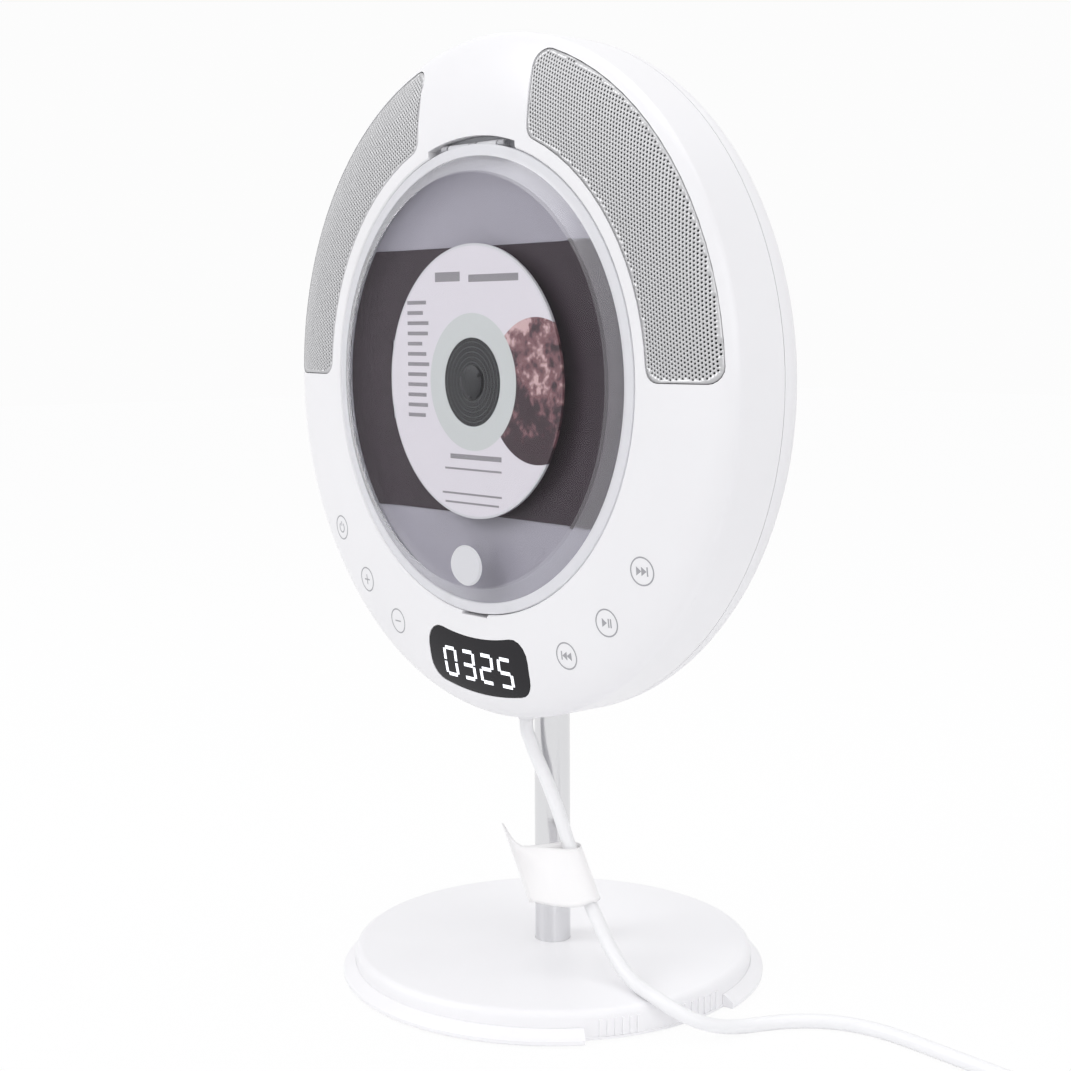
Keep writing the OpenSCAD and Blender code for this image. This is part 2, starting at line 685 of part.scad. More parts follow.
module spindle_motor() {
    color("gray") in_head() difference() {
        union() {
            translate([0, 0, deck_f - deck_t - spindle_motor_l]) cylinder(d = spindle_motor_d, h = spindle_motor_l);
            translate([0, 0, deck_f - deck_t]) cylinder(r = 4.5, h = deck_t + 1.6);
        }
        translate([0, 0, deck_f - deck_t - spindle_motor_l + 1]) cylinder(r = spindle_d / 2 + running_fit, h = 40);
    }
}

module mechanism_deck() {
    color([0.12, 0.12, 0.13]) in_head() difference() {
        union() {
            translate([-82, -36, deck_f - deck_t]) cube([108, 82, deck_t]);
            for (x = [-78, -12]) for (s = [-1, 1])
                translate([x, s * rod_y - 2.6, deck_f - 1]) cube([3, 5.2, rod_f - deck_f + rod_r + 2.2]);
            translate([-82, -36, deck_f - deck_t - 4]) cube([108, 2, 5]);
            translate([-82, 44, deck_f - deck_t - 4]) cube([108, 2, 5]);
        }
        translate([-74.5, -sled_w / 2 - 2.4, deck_f - 10]) cube([61, sled_w + 4.8, 20]);
        for (x = [-79, -13]) for (s = [-1, 1])
            translate([x, s * rod_y, rod_f]) rotate([0, 90, 0]) cylinder(r = rod_r + 0.02, h = 4.2);
        translate([0, 0, deck_f - 10]) cylinder(r = 4.5, h = 20);
        translate([feed_x, feed_y, deck_f - 10]) cylinder(r = 1.5 + running_fit, h = 20);
        translate([motor_x, motor_y, deck_f - 10]) cylinder(r = 4.2, h = 20);
        for (p = isolator_places) translate([p[0], p[1], deck_f - 10]) cylinder(r = 3.25, h = 20);
    }
}

module deck_isolators() {
    color([0.2, 0.2, 0.2]) in_head() for (p = isolator_places)
        translate([p[0], p[1], deck_f - deck_t - 1.2]) rotate_extrude()
            polygon([[1.7, 0], [3.9, 0], [3.9, 1.2], [3.2, 1.2], [3.2, deck_t + 1.4], [1.7, deck_t + 1.4]]);
}

module deck_screws() {
    color("silver") in_head() for (p = isolator_places) {
        translate([p[0], p[1], deck_f - deck_t - 3]) cylinder(r = 3, h = 1.8);
        translate([p[0], p[1], deck_f - deck_t - 1.3]) cylinder(r = 1.05, h = deck_t + 6);
    }
}

module guide_rods() {
    color("silver") in_head() for (s = [-1, 1])
        translate([-78, s * rod_y, rod_f]) rotate([0, 90, 0]) cylinder(r = rod_r, h = 69);
}

module laser_sled() {
    color([0.35, 0.33, 0.36]) in_head() translate([sled_start_x, 0, 0]) difference() {
        union() {
            translate([-12, -sled_w / 2, -18.5]) cube([22, sled_w, 7]);
            translate([-6, -9, -12]) cube([12, 18, 3.4]);
        }
        for (s = [-1, 1]) translate([-20, s * rod_y, rod_f]) rotate([0, 90, 0]) cylinder(r = rod_r + running_fit, h = 40);
        translate([0, 0, -12]) cylinder(r = 4.4, h = 10);
    }
}

module sled_rack() {
    half = rack_module * PI / 4;
    teeth = 24;
    color("ivory") in_head() translate([feed_x - 3 * rack_module * PI, 0, rack_f])
        linear_extrude(rack_t) {
            for (k = [0:teeth - 1]) translate([(k + 0.5) * rack_module * PI, rack_y])
                polygon([[-half - 1.25 * rack_module * tan(20) + 0.05, -1.25 * rack_module],
                    [half + 1.25 * rack_module * tan(20) - 0.05, -1.25 * rack_module],
                    [half - rack_module * tan(20) - 0.05, rack_module],
                    [-half + rack_module * tan(20) + 0.05, rack_module]]);
            translate([0, sled_w / 2]) square([teeth * rack_module * PI, rack_y - 1.2 * rack_module - sled_w / 2]);
        }
}

module objective_lens() {
    color([0.5, 0.6, 0.75]) in_head() translate([sled_start_x, 0, -11.2 + focus_travel]) {
        cylinder(r = 4.1, h = 4.6);
        translate([0, 0, 4.5]) cylinder(r = 2.6, h = 2.2);
        translate([0, 0, 6.6]) cylinder(r1 = 2.2, r2 = 1, h = 0.5);
    }
}

module feed_gear() {
    color("ivory") in_head() translate([feed_x, feed_y, 0]) {
        translate([0, 0, deck_f - deck_t - 2.2]) linear_extrude(1.8) polygon(gear_points(gear_module, gear_teeth, 0.05));
        translate([0, 0, deck_f - deck_t - 0.5]) cylinder(r = 1.5, h = deck_t + 1.6);
        translate([0, 0, deck_f + 0.4]) cylinder(r = 2.6, h = rack_f - deck_f - 0.6);
        translate([0, 0, rack_f - 0.3]) linear_extrude(rack_t + 0.6)
            rotate(-90) polygon(gear_points(rack_module, pinion_teeth, 0.05));
    }
}

module motor_pinion() {
    color("goldenrod") in_head() translate([motor_x, motor_y, 0]) {
        translate([0, 0, deck_f - deck_t - 2.2]) linear_extrude(1.8)
            rotate(feed_angle + 180 + 180 / motor_teeth + motor_phase) polygon(gear_points(gear_module, motor_teeth, 0.05));
        translate([0, 0, deck_f - deck_t - 0.5]) cylinder(r = 1, h = deck_t + 4);
    }
}

// Angle by which the large gear's nearest tooth misses the line between the two axes
motor_phase = (round(feed_angle / (360 / gear_teeth)) * (360 / gear_teeth) - feed_angle) * gear_teeth / motor_teeth * -1;

module feed_motor() {
    color("gray") in_head() translate([motor_x, motor_y, deck_f]) difference() {
        cylinder(r = 8.8, h = 6.6);
        translate([0, 0, -1]) cylinder(r = 1 + running_fit, h = 6);
    }
}

module speaker_frame() {
    color([0.15, 0.15, 0.16]) in_head() rotate(driver_angle) translate([driver_ring_r, 0, driver_f])
        rotate_extrude() polygon([[driver_mouth_r, 0], [driver_r, 0], [driver_r, -2], [driver_r - 1.2, -2.6],
            [driver_r - 6, -13], [driver_r - 6, -15], [7, -15], [7, -13.6], [driver_r - 7.2, -13.6],
            [driver_r - 2.6, -3.2], [driver_mouth_r, -3.2]]);
}

module right_speaker_frame() { speaker_frame(); }
module left_speaker_frame() { mirror([1, 0, 0]) speaker_frame(); }

module speaker_magnets() {
    color("dimgray") in_head() for (s = [0, 1]) mirror([s, 0, 0]) rotate(driver_angle)
        translate([driver_ring_r, 0, driver_f]) {
            translate([0, 0, -15.01 - 6]) cylinder(r = 12, h = 6);
            translate([0, 0, -15.01]) cylinder(r = 4.6, h = 5);
        }
}

// Paper cone, its rolled rubber edge, its dust cap and the voice coil's former
module cone() {
    color([0.18, 0.18, 0.19]) in_head() rotate(driver_angle) translate([driver_ring_r, 0, driver_f])
        rotate_extrude() polygon([[0, -4.4], [3.4, -4.8], [5.6, -6.2], [10.6, -2.8], [12, -1.6], [13.6, -1.4],
            [driver_mouth_r - gap, -2.4], [driver_mouth_r - gap, -3.2], [13.6, -2.2], [12.2, -2.4], [11, -3.6],
            [6.2, -7.4], [6.2, -11.4], [5.2, -11.4], [5.2, -7.2], [3.2, -5.6], [0, -5.2]]);
}

module right_cone() { cone(); }
module left_cone() { mirror([1, 0, 0]) cone(); }

module main_board() {
    color("darkgreen") in_head() difference() {
        translate([-60, -56, board_f - 1.6]) cube([120, 102, 1.6]);
        for (p = [[-55, -50], [55, -50], [-55, 40], [55, 40]])
            translate([p[0], p[1], board_f - 5]) cylinder(r = 1.5, h = 10);
    }
}

module board_components() {
    color([0.1, 0.1, 0.12]) in_head() translate([0, 0, board_f]) {
        for (p = [[-30, 10, 14, 14], [8, 16, 10, 10], [30, -30, 12, 8], [-40, -40, 8, 8]])
            translate([p[0], p[1], 0]) cube([p[2], p[3], 1.6]);
        for (x = [-46, -34, -22]) translate([x, -20, 0]) cylinder(r = 4, h = 8);
        for (y = [-30, -18]) translate([10, y, 0]) cube([14, 7, 5]);
    }
}

module audio_socket() {
    color([0.1, 0.1, 0.1]) in_head() difference() {
        union() {
            translate([audio_x, audio_y, back_f + 0.4]) cylinder(r = 4, h = board_f - 1.6 - back_f - 0.4);
            translate([audio_x - 5, audio_y - 5, back_f + wall + gap]) cube([10, 10, board_f - 1.6 - back_f - wall - gap]);
        }
        translate([audio_x, audio_y, back_f - 1]) cylinder(r = 1.8, h = 9);
    }
}

module housing_screws() {
    color("silver") in_head() for (a = post_angles) rotate(a) translate([post_ring_r, 0, back_f + screw_seat]) {
        translate([0, 0, -2]) cylinder(r = screw_head_r, h = 2);
        translate([0, 0, -0.1]) cylinder(r = pilot_r - 0.05, h = 31 - screw_seat);
    }
}

module inner_screws() {
    color("silver") in_head() {
        for (a = [0, 90, 180, 270]) rotate(a) translate([collar_r + 2.2, 0, -collar_depth - gap - 2]) {
            translate([0, 0, -1.4]) cylinder(r = 2.4, h = 1.4);
            translate([0, 0, -0.1]) cylinder(r = 0.95, h = 6);
        }
        for (p = [[-55, -50], [55, -50], [-55, 40], [55, 40]]) translate([p[0], p[1], board_f]) {
            cylinder(r = 2.4, h = 1.4);
            translate([0, 0, -6]) cylinder(r = 0.95, h = 6.1);
        }
    }
}

// Pieces of the pull switch stand round the cord's upright end
module at_exit() {
    translate([0, -exit_front, 0]) children();
}

module pull_sleeve() {
    color("white") at_exit() difference() {
        union() {
            translate([0, 0, sleeve_low]) cylinder(r1 = sleeve_r - 0.4, r2 = sleeve_r, h = 2);
            translate([0, 0, sleeve_low + 1.99]) cylinder(r = sleeve_r, h = collar_z + collar_h - sleeve_low - 1.99);
            translate([0, 0, collar_z]) cylinder(r = 5.6, h = collar_h);
        }
        translate([0, 0, sleeve_low - 1]) cylinder(r = sleeve_bore, h = 60);
    }
}

module return_spring() {
    color("silver") at_exit() translate([0, 0, seat_top]) difference() {
        cylinder(r = 5.3, h = collar_z - seat_top);
        translate([0, 0, -1]) cylinder(r = sleeve_r + 0.3, h = 20);
    }
}

module switch_bracket() {
    color([0.8, 0.8, 0.82]) at_exit() difference() {
        union() {
            translate([-13, -13.5, collar_z + collar_h + gap]) cube([26, 19.1, 5.4]);
            for (s = [-1, 1]) translate([s * 10.5 - 2.5, -5, inner_low + 0.5])
                cube([5, 9, collar_z + collar_h + gap - inner_low]);
        }
        translate([0, 0, collar_z]) cylinder(r = sleeve_bore, h = lead_end - collar_z);
    }
}

module micro_switch() {
    color([0.1, 0.1, 0.1]) at_exit() {
        translate([-6, -13, collar_z - 4]) cube([12, 6.4, collar_h + 4 + gap]);
        translate([-1.5, -6.7, collar_z + 0.6]) cube([3, 0.8, 1.6]);
    }
}

module pole() {
    color("silver") translate([0, 0, pole_foot + 0.0]) difference() {
        cylinder(r = pole_r, h = pole_top - pole_foot - 1);
        translate([0, 0, -1]) cylinder(r = pole_r - pole_t, h = pole_top);
    }
}

module pole_plug() {
    color("gray") translate([0, 0, pole_foot]) difference() {
        cylinder(r = pole_r - pole_t - 0.02, h = 16);
        translate([0, 0, -1]) cylinder(r = 2.55, h = 15);
    }
}

module pole_bolt() {
    color("silver") {
        translate([0, 0, base_floor + 0.3]) cylinder(r = 6.5, h = 2.4);
        translate([0, 0, base_floor + 2.69]) cylinder(r = 2.5, h = weight_t + 12);
    }
}

module base_cover() {
    color("white") difference() {
        union() {
            rotate([0, 0, 90]) rotate_extrude() polygon(concat([[socket_r + 0.05, base_h], [base_r - base_edge_r, base_h]],
                [for (i = [1:6]) let (t = 90 - 15 * i) [base_r - base_edge_r + base_edge_r * cos(t),
                    base_h - base_edge_r + base_edge_r * sin(t)]],
                [[base_r, base_floor + 1], [base_r - base_t, base_floor + 1], [base_r - base_t, base_h - base_edge_r],
                    [base_r - base_edge_r, base_h - base_t], [socket_r + 2.6, base_h - base_t],
                    [socket_r + 2.6, pole_foot + gap], [socket_r + 0.05, pole_foot + gap]]));
            for (a = [-28.5, -26.4, -24.3, -22.2, -20.1, -18, -3, -0.5, 2, 4.5, 7, 9.5]) rotate(a)
                translate([base_r - 0.5, -0.55, base_floor + 1.4]) cube([1.3, 1.1, base_h - base_edge_r - base_floor - 2]);
            for (a = screw_angles) rotate(a) translate([base_r - 10, 0, weight_z + weight_t + gap])
                cylinder(r = 3.2, h = base_h - base_t - weight_z - weight_t - gap + 0.1);
        }
        for (a = screw_angles) rotate(a) translate([base_r - 10, 0, 0]) cylinder(r = 1.1, h = base_h - 1.6);
    }
}

screw_angles = [45, 135, 225, 315];

module base_weight() {
    color("gray") translate([0, 0, weight_z]) difference() {
        cylinder(r = base_r - base_t - 1.5, h = weight_t);
        translate([0, 0, -1]) cylinder(r = 2.8, h = 20);
        for (a = screw_angles) rotate(a) translate([base_r - 10, 0, -1]) cylinder(r = 1.6, h = 20);
    }
}

// Foot rim and floor in one piece: the sloping rim is cut away where the cord drops over the edge
module base_plate() {
    color("white") difference() {
        union() {
            translate([0, 0, base_floor]) cylinder(r = base_r + 0.5, h = 1);
            translate([0, 0, base_floor]) cylinder(r = base_r - base_t - 0.2, h = 3);
            intersection() {
                rotate_extrude() polygon([[base_r + 0.1, base_floor], [rim_r - 0.6, base_floor], [rim_r, base_floor + 0.6],
                    [rim_r, base_floor + 2], [rim_r - 0.8, base_floor + 3],
                    [base_r + 1.4, base_floor + foot_rim_h - 0.3], [base_r + 0.1, base_floor + foot_rim_h]]);
                rotate(cut_end) rotate_extrude(angle = 360 + cut_start - cut_end)
                    translate([base_r - 5, 0]) square([foot_rim_w + 10, foot_rim_h + 5]);
            }
        }
        translate([0, 0, -1]) cylinder(r = 2.8, h = 20);
        translate([0, 0, base_floor - 1]) cylinder(r = 7, h = 3.7);
        for (a = screw_angles) rotate(a) translate([base_r - 10, 0, -1]) {
            cylinder(r = 1.6, h = 20);
            cylinder(r = 3.2, h = base_floor + 3.3);
        }
    }
}

module base_feet() {
    color([0.3, 0.3, 0.3]) for (a = [0, 90, 180, 270]) rotate(a)
        translate([base_r - 18, 0, 0]) cylinder(r = 8, h = feet_t);
}

module base_screws() {
    color("silver") for (a = screw_angles) rotate(a) translate([base_r - 10, 0, base_floor + 0.6]) {
        cylinder(r = 2.9, h = 1.7);
        translate([0, 0, 1.6]) cylinder(r = 1.05, h = weight_t + 3.6);
    }
}

// Cord: the points of its free stretch, fitted to the head, the base's edge and the table
cord_r = cord_d / 2;
lay_z = cord_r + 0.1;
coil_z = cord_r + 1.1;
on_base = base_h + cord_r + 0.3;
route = [
    [1, -14.6, 111.5], [3.6, -13.2, 104], [8, -12.4, 96.5], [13, -12.2, 88.5], [18, -12.3, 80.5], [22.6, -12.5, 72.5],
    [27, -12.7, 64.5], [31.6, -13, 56.8], [36.6, -13.5, 49.6], [42.2, -14.2, 42.8], [48.2, -15, 36.4],
    [54.4, -16, 30.4], [61, -17, 25], [68.6, -18.2, 20.4], [77, -19.6, 17.6], [85, -21.2, 17], [92, -22, 16.4],
    [98.5, -21, 14.4], [104, -17.8, 11.4], [108.4, -13, 8.6], [111.6, -7, 6.2], [113.8, 0, 4.4], [116, 7.6, 3.4],
    [119.2, 16, 3.2], [124, 25, 3.2], [130.6, 33.4, 3.2], [138.6, 40, 3.2], [148.4, 44.6, 3.2], [160, 47.2, 3.2],
    [173, 48, 3.2], [188, 48, 3.2], [204, 48, 3.2], [220, 48, 3.2]];
function reach(x) = x < 20 ? 0 : x < 85 ? (x - 20) / 65 : x < 115 ? 1 : x < 200 ? (200 - x) / 85 : 0;
function height(z) = z <= 3.2 ? lay_z : z <= 17 ? lay_z + (z - 3.2) * (on_base - lay_z) / 13.8
    : on_base + (z - 17) * (head_low - on_base) / 108.5;
cord_route = concat(
    [[0, -exit_front, lead_end], [0, -exit_front, head_low + 10], [0, -exit_front, head_low - 1],
        [0, -exit_front, head_low - 9.5]],
    [for (p = route) [p[0] + (base_r - 92.5) * reach(p[0]), p[1], height(p[2])]],
    [[236, 48, lay_z + 0.5], [250, 48, coil_z], [256, 48, coil_z]]);

// A tube of a given number of sides round a list of points, with its first and last ring square to the line
function unit(v) = v / norm(v);
function lerp_dir(p, i) = i == 0 ? unit(p[1] - p[0]) : i == len(p) - 1 ? unit(p[i] - p[i - 1])
    : unit(unit(p[i + 1] - p[i]) + unit(p[i] - p[i - 1]));
function side_of(d) = unit(cross(d, abs(d[2]) > 0.85 ? [0, 1, 0] : [0, 0, 1]));
function frames(p, i = 0, s = undef) =
    i == len(p) ? [] : let (d = lerp_dir(p, i), raw = s == undef ? side_of(d) : s - (s * d) * d, u = unit(raw))
        concat([[u, cross(d, u)]], frames(p, i + 1, u));

module tube(p, r, sides) {
    f = frames(p);
    n = len(p);
    points = [for (i = [0:n - 1], k = [0:sides - 1])
        p[i] + r * (f[i][0] * cos(360 * k / sides) + f[i][1] * sin(360 * k / sides))];
    faces = concat(
        [[for (k = [0:sides - 1]) k]],
        [for (i = [0:n - 2], k = [0:sides - 1]) let (a = i * sides + k, b = i * sides + (k + 1) % sides)
            each [[a, a + sides, b], [b, a + sides, b + sides]]],
        [[for (k = [sides - 1:-1:0]) (n - 1) * sides + k]]);
    polyhedron(points, faces);
}

module power_cord() {
    color("white") tube(cord_route, cord_r, 10);
}

// The coil winds inwards, climbs in the half turn where it turns back and winds outwards on top
coil_out = coil_d / 2 + coil_pitch * coil_turns / 2;
coil_in = coil_out - coil_pitch * coil_turns;
coil_rise = cord_d + 0.7;
coil_centre = [290, 48 - coil_out];
steps_turn = 24;
function coil_point(t) =
    let (back = coil_turns + 0.25,
        r = t <= back ? coil_out - coil_pitch * t : coil_out - coil_pitch * (2 * back - t),
        z = coil_z + coil_rise * max(0, min(1, (t - coil_turns) / 0.5)),
        a = 90 - 360 * t)
    [coil_centre[0] + r * cos(a), coil_centre[1] + r * sin(a), z];
coil_total = 2 * coil_turns + 0.25;
coil_end = coil_point(coil_total);
coil_dir = [0, -1, 0];
coil_route = concat(
    [[256, 48, coil_z], [262, 48, coil_z], [270, 48, coil_z], [280, 48, coil_z]],
    [for (i = [0:steps_turn * coil_total]) coil_point(i / steps_turn)],
    [for (q = [[8, 0.1], [16, 0.6], [24, 1.7], [31, 3], [37, 3.8], [43, 4], [52, 4]])
        coil_end + q[0] * coil_dir - [0, 0, q[1]]]);

// Least distance between two stretches of the coil that aren't neighbours along it
far_pairs = [for (i = [0:1:len(coil_route) - 1], j = [i + 9:1:len(coil_route) - 1]) norm(coil_route[i] - coil_route[j])];
echo(least_coil_gap = min(far_pairs) - 2 * cord_r);

module cord_coil() {
    color("white") tube(coil_route, cord_r, 6);
}

tie_in = coil_in + coil_pitch * 0.25 - cord_r - 1.2;
tie_out = coil_in + coil_pitch * (coil_turns - 0.75) + cord_r + 1.2;

module cord_tie() {
    color([0.9, 0.9, 0.9]) translate([coil_centre[0], coil_centre[1], 0]) rotate(180) difference() {
        translate([tie_in, -3, 0.1]) cube([tie_out - tie_in, 6, coil_z + coil_rise + cord_r + 1]);
        translate([tie_in + 0.8, -4, 0.7]) cube([tie_out - tie_in - 1.6, 8, coil_z + coil_rise + cord_r - 0.3]);
    }
}

// Two-pin plug that lies on the table, square to the cord's end
plug_back = coil_route[len(coil_route) - 1];

module power_plug() {
    color("white") translate(plug_back) rotate(-90) rotate([0, 90, 0]) {
        cylinder(r1 = 4, r2 = 5.4, h = 14);
        translate([0, 0, 13.9]) linear_extrude(30) polygon(concat(
            arc(6.8, 0, 180, 8, [0, 9.2]), arc(6.8, 180, 360, 8, [0, -9.2])));
        for (s = [-1, 1]) translate([0, s * 9.2, 43]) cylinder(d = 4, h = 20);
    }
}

// Folded paper flag round the cord in front of the pole, drawn along the cord's slope
tag_h = 26;
tag_t = 0.5;
tag_at = 11;
tag_line = [[31, 3.6], [26, 1.6], [18, 1.8], [10, 3.6], [4, 5], [0, 5.4], [-4, 4], [-5.6, 0], [-4, -4.2], [0, -5.6],
    [5, -4.6], [11, -1.6], [19, -0.2], [27, 0.1]];

module cord_tag() {
    o = (cord_route[tag_at] + cord_route[tag_at + 1]) / 2;
    d = unit(cord_route[tag_at] - cord_route[tag_at + 1]);
    color("white") multmatrix([[-0.647, 0.763, d[0], o[0]], [-0.763, -0.647, d[1], o[1]], [0, 0, d[2], o[2]]])
        linear_extrude(tag_h, center = true) for (i = [0:len(tag_line) - 2]) {
            a = tag_line[i];
            b = tag_line[i + 1];
            e = unit(b - a) * tag_t / 2;
            n = [-e[1], e[0]];
            polygon([a - e - n, b + e - n, b + e + n, a - e + n]);
        }
}

front_housing();
rear_housing();
left_grille();
right_grille();
speaker_baffles();
disc_well();
album_card();
cover_bezel();
cover_window();
finger_dimple();
latch_keeper();
latch_magnet();
hinge_bracket();
hinge_pin();
display_lens();
display_module();
digit_segments();
display_board();
touch_board();
compact_disc();
turntable();
spindle_shaft();
spindle_motor();
mechanism_deck();
deck_isolators();
deck_screws();
guide_rods();
laser_sled();
sled_rack();
objective_lens();
feed_gear();
feed_motor();
motor_pinion();
left_speaker_frame();
right_speaker_frame();
speaker_magnets();
left_cone();
right_cone();
main_board();
board_components();
audio_socket();
housing_screws();
inner_screws();
pull_sleeve();
return_spring();
switch_bracket();
micro_switch();
pole();
pole_plug();
pole_bolt();
base_cover();
base_weight();
base_plate();
base_feet();
base_screws();
power_cord();
cord_coil();
cord_tie();
power_plug();
cord_tag();
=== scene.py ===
"""Looks of a round compact disc player on a stand: finishes, grilles, clear cover, cord, tag and studio.

Sizes are in millimetres. Head sizes use the head's own frame, seen from the front: x to the right, y up, and
f forwards from the disc's printed face. `head_points` takes them to the frame of the CAD parts, in metres.
"""

import json
import logging
import math
from dataclasses import dataclass
from enum import Enum
from typing import Callable, Sequence

import bmesh
import bpy
import numpy as np
from mathutils import Matrix, Vector
from mathutils.geometry import delaunay_2d_cdt

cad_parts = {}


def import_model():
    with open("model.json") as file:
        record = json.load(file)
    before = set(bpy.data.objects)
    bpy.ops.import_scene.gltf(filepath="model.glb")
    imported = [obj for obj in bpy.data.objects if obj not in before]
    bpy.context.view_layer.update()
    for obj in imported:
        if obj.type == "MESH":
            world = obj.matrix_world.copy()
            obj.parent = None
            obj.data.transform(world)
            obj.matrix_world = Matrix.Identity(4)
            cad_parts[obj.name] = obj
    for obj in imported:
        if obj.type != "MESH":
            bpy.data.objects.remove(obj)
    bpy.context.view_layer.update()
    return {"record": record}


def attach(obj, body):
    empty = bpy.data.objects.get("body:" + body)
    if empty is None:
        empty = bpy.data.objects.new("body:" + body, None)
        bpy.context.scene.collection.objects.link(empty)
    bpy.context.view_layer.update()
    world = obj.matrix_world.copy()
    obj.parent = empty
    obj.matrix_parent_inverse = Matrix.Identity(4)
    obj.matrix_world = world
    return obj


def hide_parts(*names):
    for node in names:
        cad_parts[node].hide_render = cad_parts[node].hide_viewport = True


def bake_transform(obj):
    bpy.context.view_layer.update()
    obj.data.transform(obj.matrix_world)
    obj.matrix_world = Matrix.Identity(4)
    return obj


Array = np.ndarray
Colour = tuple[float, float, float]
Place = tuple[float, float, float]
Piece = bpy.types.Object
Tree = bpy.types.NodeTree
Socket = bpy.types.NodeSocket
NormalLaw = Callable[[Array, Array], tuple[Array, Array]]

LOG = logging.getLogger("disc_player")
MM = 0.001
# The disc's printed face stands this far in front of the frame's origin, and its centre this high above it.
HEAD_SETBACK = 45.0
HEAD_HEIGHT = 275.0
# Points of a CAD node that fall in one cell of this grid, in cells to the metre, are one point of its copy.
MERGE_GRID = 1e6
# Faces of a copied CAD node that meet at less than this angle in degrees are shaded as one surface.
SKIN_ANGLE = 28.0


class Side(Enum):
    """Which side of the head a piece is on, as the sign of x."""

    LEFT = -1
    RIGHT = 1


# Shapes in numbers


def head_points(x: Array, y: Array, f: Array) -> Array:
    """Takes head coordinates to the frame of the CAD parts.

    Args:
        x: Millimetres to the right.
        y: Millimetres up from the disc's centre.
        f: Millimetres forwards from the disc's printed face.

    Returns:
        An array of points in metres, with the coordinates in its last axis.
    """
    x, y, f = np.broadcast_arrays(np.asarray(x, float), y, f)
    return np.stack([x, -HEAD_SETBACK - f, HEAD_HEIGHT + y], -1) * MM


@dataclass(frozen=True)
class RingForm:
    """The domed front ring: a quarter ellipse from crest to side wall, turned about the disc's axis."""

    head_radius: float = 149.5
    crest_radius: float = 107.0
    crest_front: float = 0.5
    shoulder: float = 12.8
    window_radius: float = 102.6

    def front(self, radius: Array) -> Array:
        """Height f of the ring's skin: crest front - shoulder (1 - sqrt(1 - s^2)).

        The share s runs from 0 at the crest to 1 at the side wall.

        Args:
            radius: Distances from the disc's axis in millimetres.

        Returns:
            The height f at each radius.
        """
        width = self.head_radius - self.crest_radius
        share = np.clip((np.asarray(radius, float) - self.crest_radius) / width, 0, 1)
        return self.crest_front - self.shoulder * (1 - np.sqrt(1 - share**2))

    def lay(self, x: Array, y: Array, above: float) -> Array:
        """Lays flat points on the ring's skin, a distance above it along the disc's axis.

        Args:
            x: Millimetres to the right.
            y: Millimetres up.
            above: Millimetres in front of the skin.

        Returns:
            Points in the parts' frame, in metres.
        """
        return head_points(x, y, self.front(np.hypot(x, y)) + above)


def arc(radius: float, start: float, stop: float, steps: int, centre: Sequence[float] = (0.0, 0.0)) -> Array:
    """Points on a circle's arc: centre + radius (cos t, sin t), with t from start to stop in degrees.

    Args:
        radius: The arc's radius.
        start: First angle.
        stop: Last angle.
        steps: Number of stretches.
        centre: The circle's centre.

    Returns:
        An array of steps + 1 points.
    """
    t = np.radians(np.linspace(start, stop, steps + 1))
    return np.stack([centre[0] + radius * np.cos(t), centre[1] + radius * np.sin(t)], -1)


def circle(radius: float, sides: int) -> Array:
    """Points once round a circle about the origin, the last of which is a step short of the first."""
    return arc(radius, 0, 360 - 360 / sides, sides - 1)


def closed_loop(count: int) -> Array:
    """Edges that join points numbered from 0 to count - 1 in a loop, as pairs of indices."""
    index = np.arange(count)
    return np.stack([index, (index + 1) % count], -1)


def leg(longest: float, other: float) -> float:
    """Second short side of a right triangle: sqrt(longest^2 - other^2)."""
    return math.sqrt(longest**2 - other**2)


def smooth_line(points: Array, per_stretch: int) -> Array:
    """Catmull-Rom curve through the points: each stretch is the cubic with tangents (next - last) / 2.

    Args:
        points: An array of points.
        per_stretch: Points on each stretch.

    Returns:
        The curve's points, the first and last of which are the given ones.
    """
    p = np.vstack([2 * points[:1] - points[1:2], points, 2 * points[-1:] - points[-2:-1]])
    t = (np.arange(per_stretch) / per_stretch)[None, :, None]
    a, b, c, d = (p[i : len(p) - 3 + i, None, :] for i in range(4))
    square, cube = 2 * a - 5 * b + 4 * c - d, 3 * b - a - 3 * c + d
    curve = 0.5 * (2 * b + (c - a) * t + square * t**2 + cube * t**3)
    return np.vstack([curve.reshape(-1, points.shape[1]), points[-1:]])


def tube_grid(line: Array, radius: float, sides: int) -> Array:
    """Rings of a round tube: line(s) + radius (u(s) cos t + v(s) sin t), with u and v square to the line.

    Each u is the last one made square to the line again, so the tube isn't twisted.

    Args:
        line: Points of the centre line.
        radius: The tube's radius in the same unit.
        sides: Points on each ring.

    Returns:
        An array of rings by sides by three.
    """
    along = np.gradient(line, axis=0)
    along /= np.linalg.norm(along, axis=1, keepdims=True)
    u = np.empty_like(line)
    u[0] = np.cross(along[0], (0.0, 1.0, 0.0))
    for i in range(1, len(line)):
        u[i] = u[i - 1] - np.dot(u[i - 1], along[i]) * along[i]
        u[i] /= np.linalg.norm(u[i])
    u[0] /= np.linalg.norm(u[0])
    v = np.cross(along, u)
    t = np.radians(np.arange(sides) * 360 / sides)[None, :, None]
    return line[:, None, :] + radius * (u[:, None, :] * np.cos(t) + v[:, None, :] * np.sin(t))


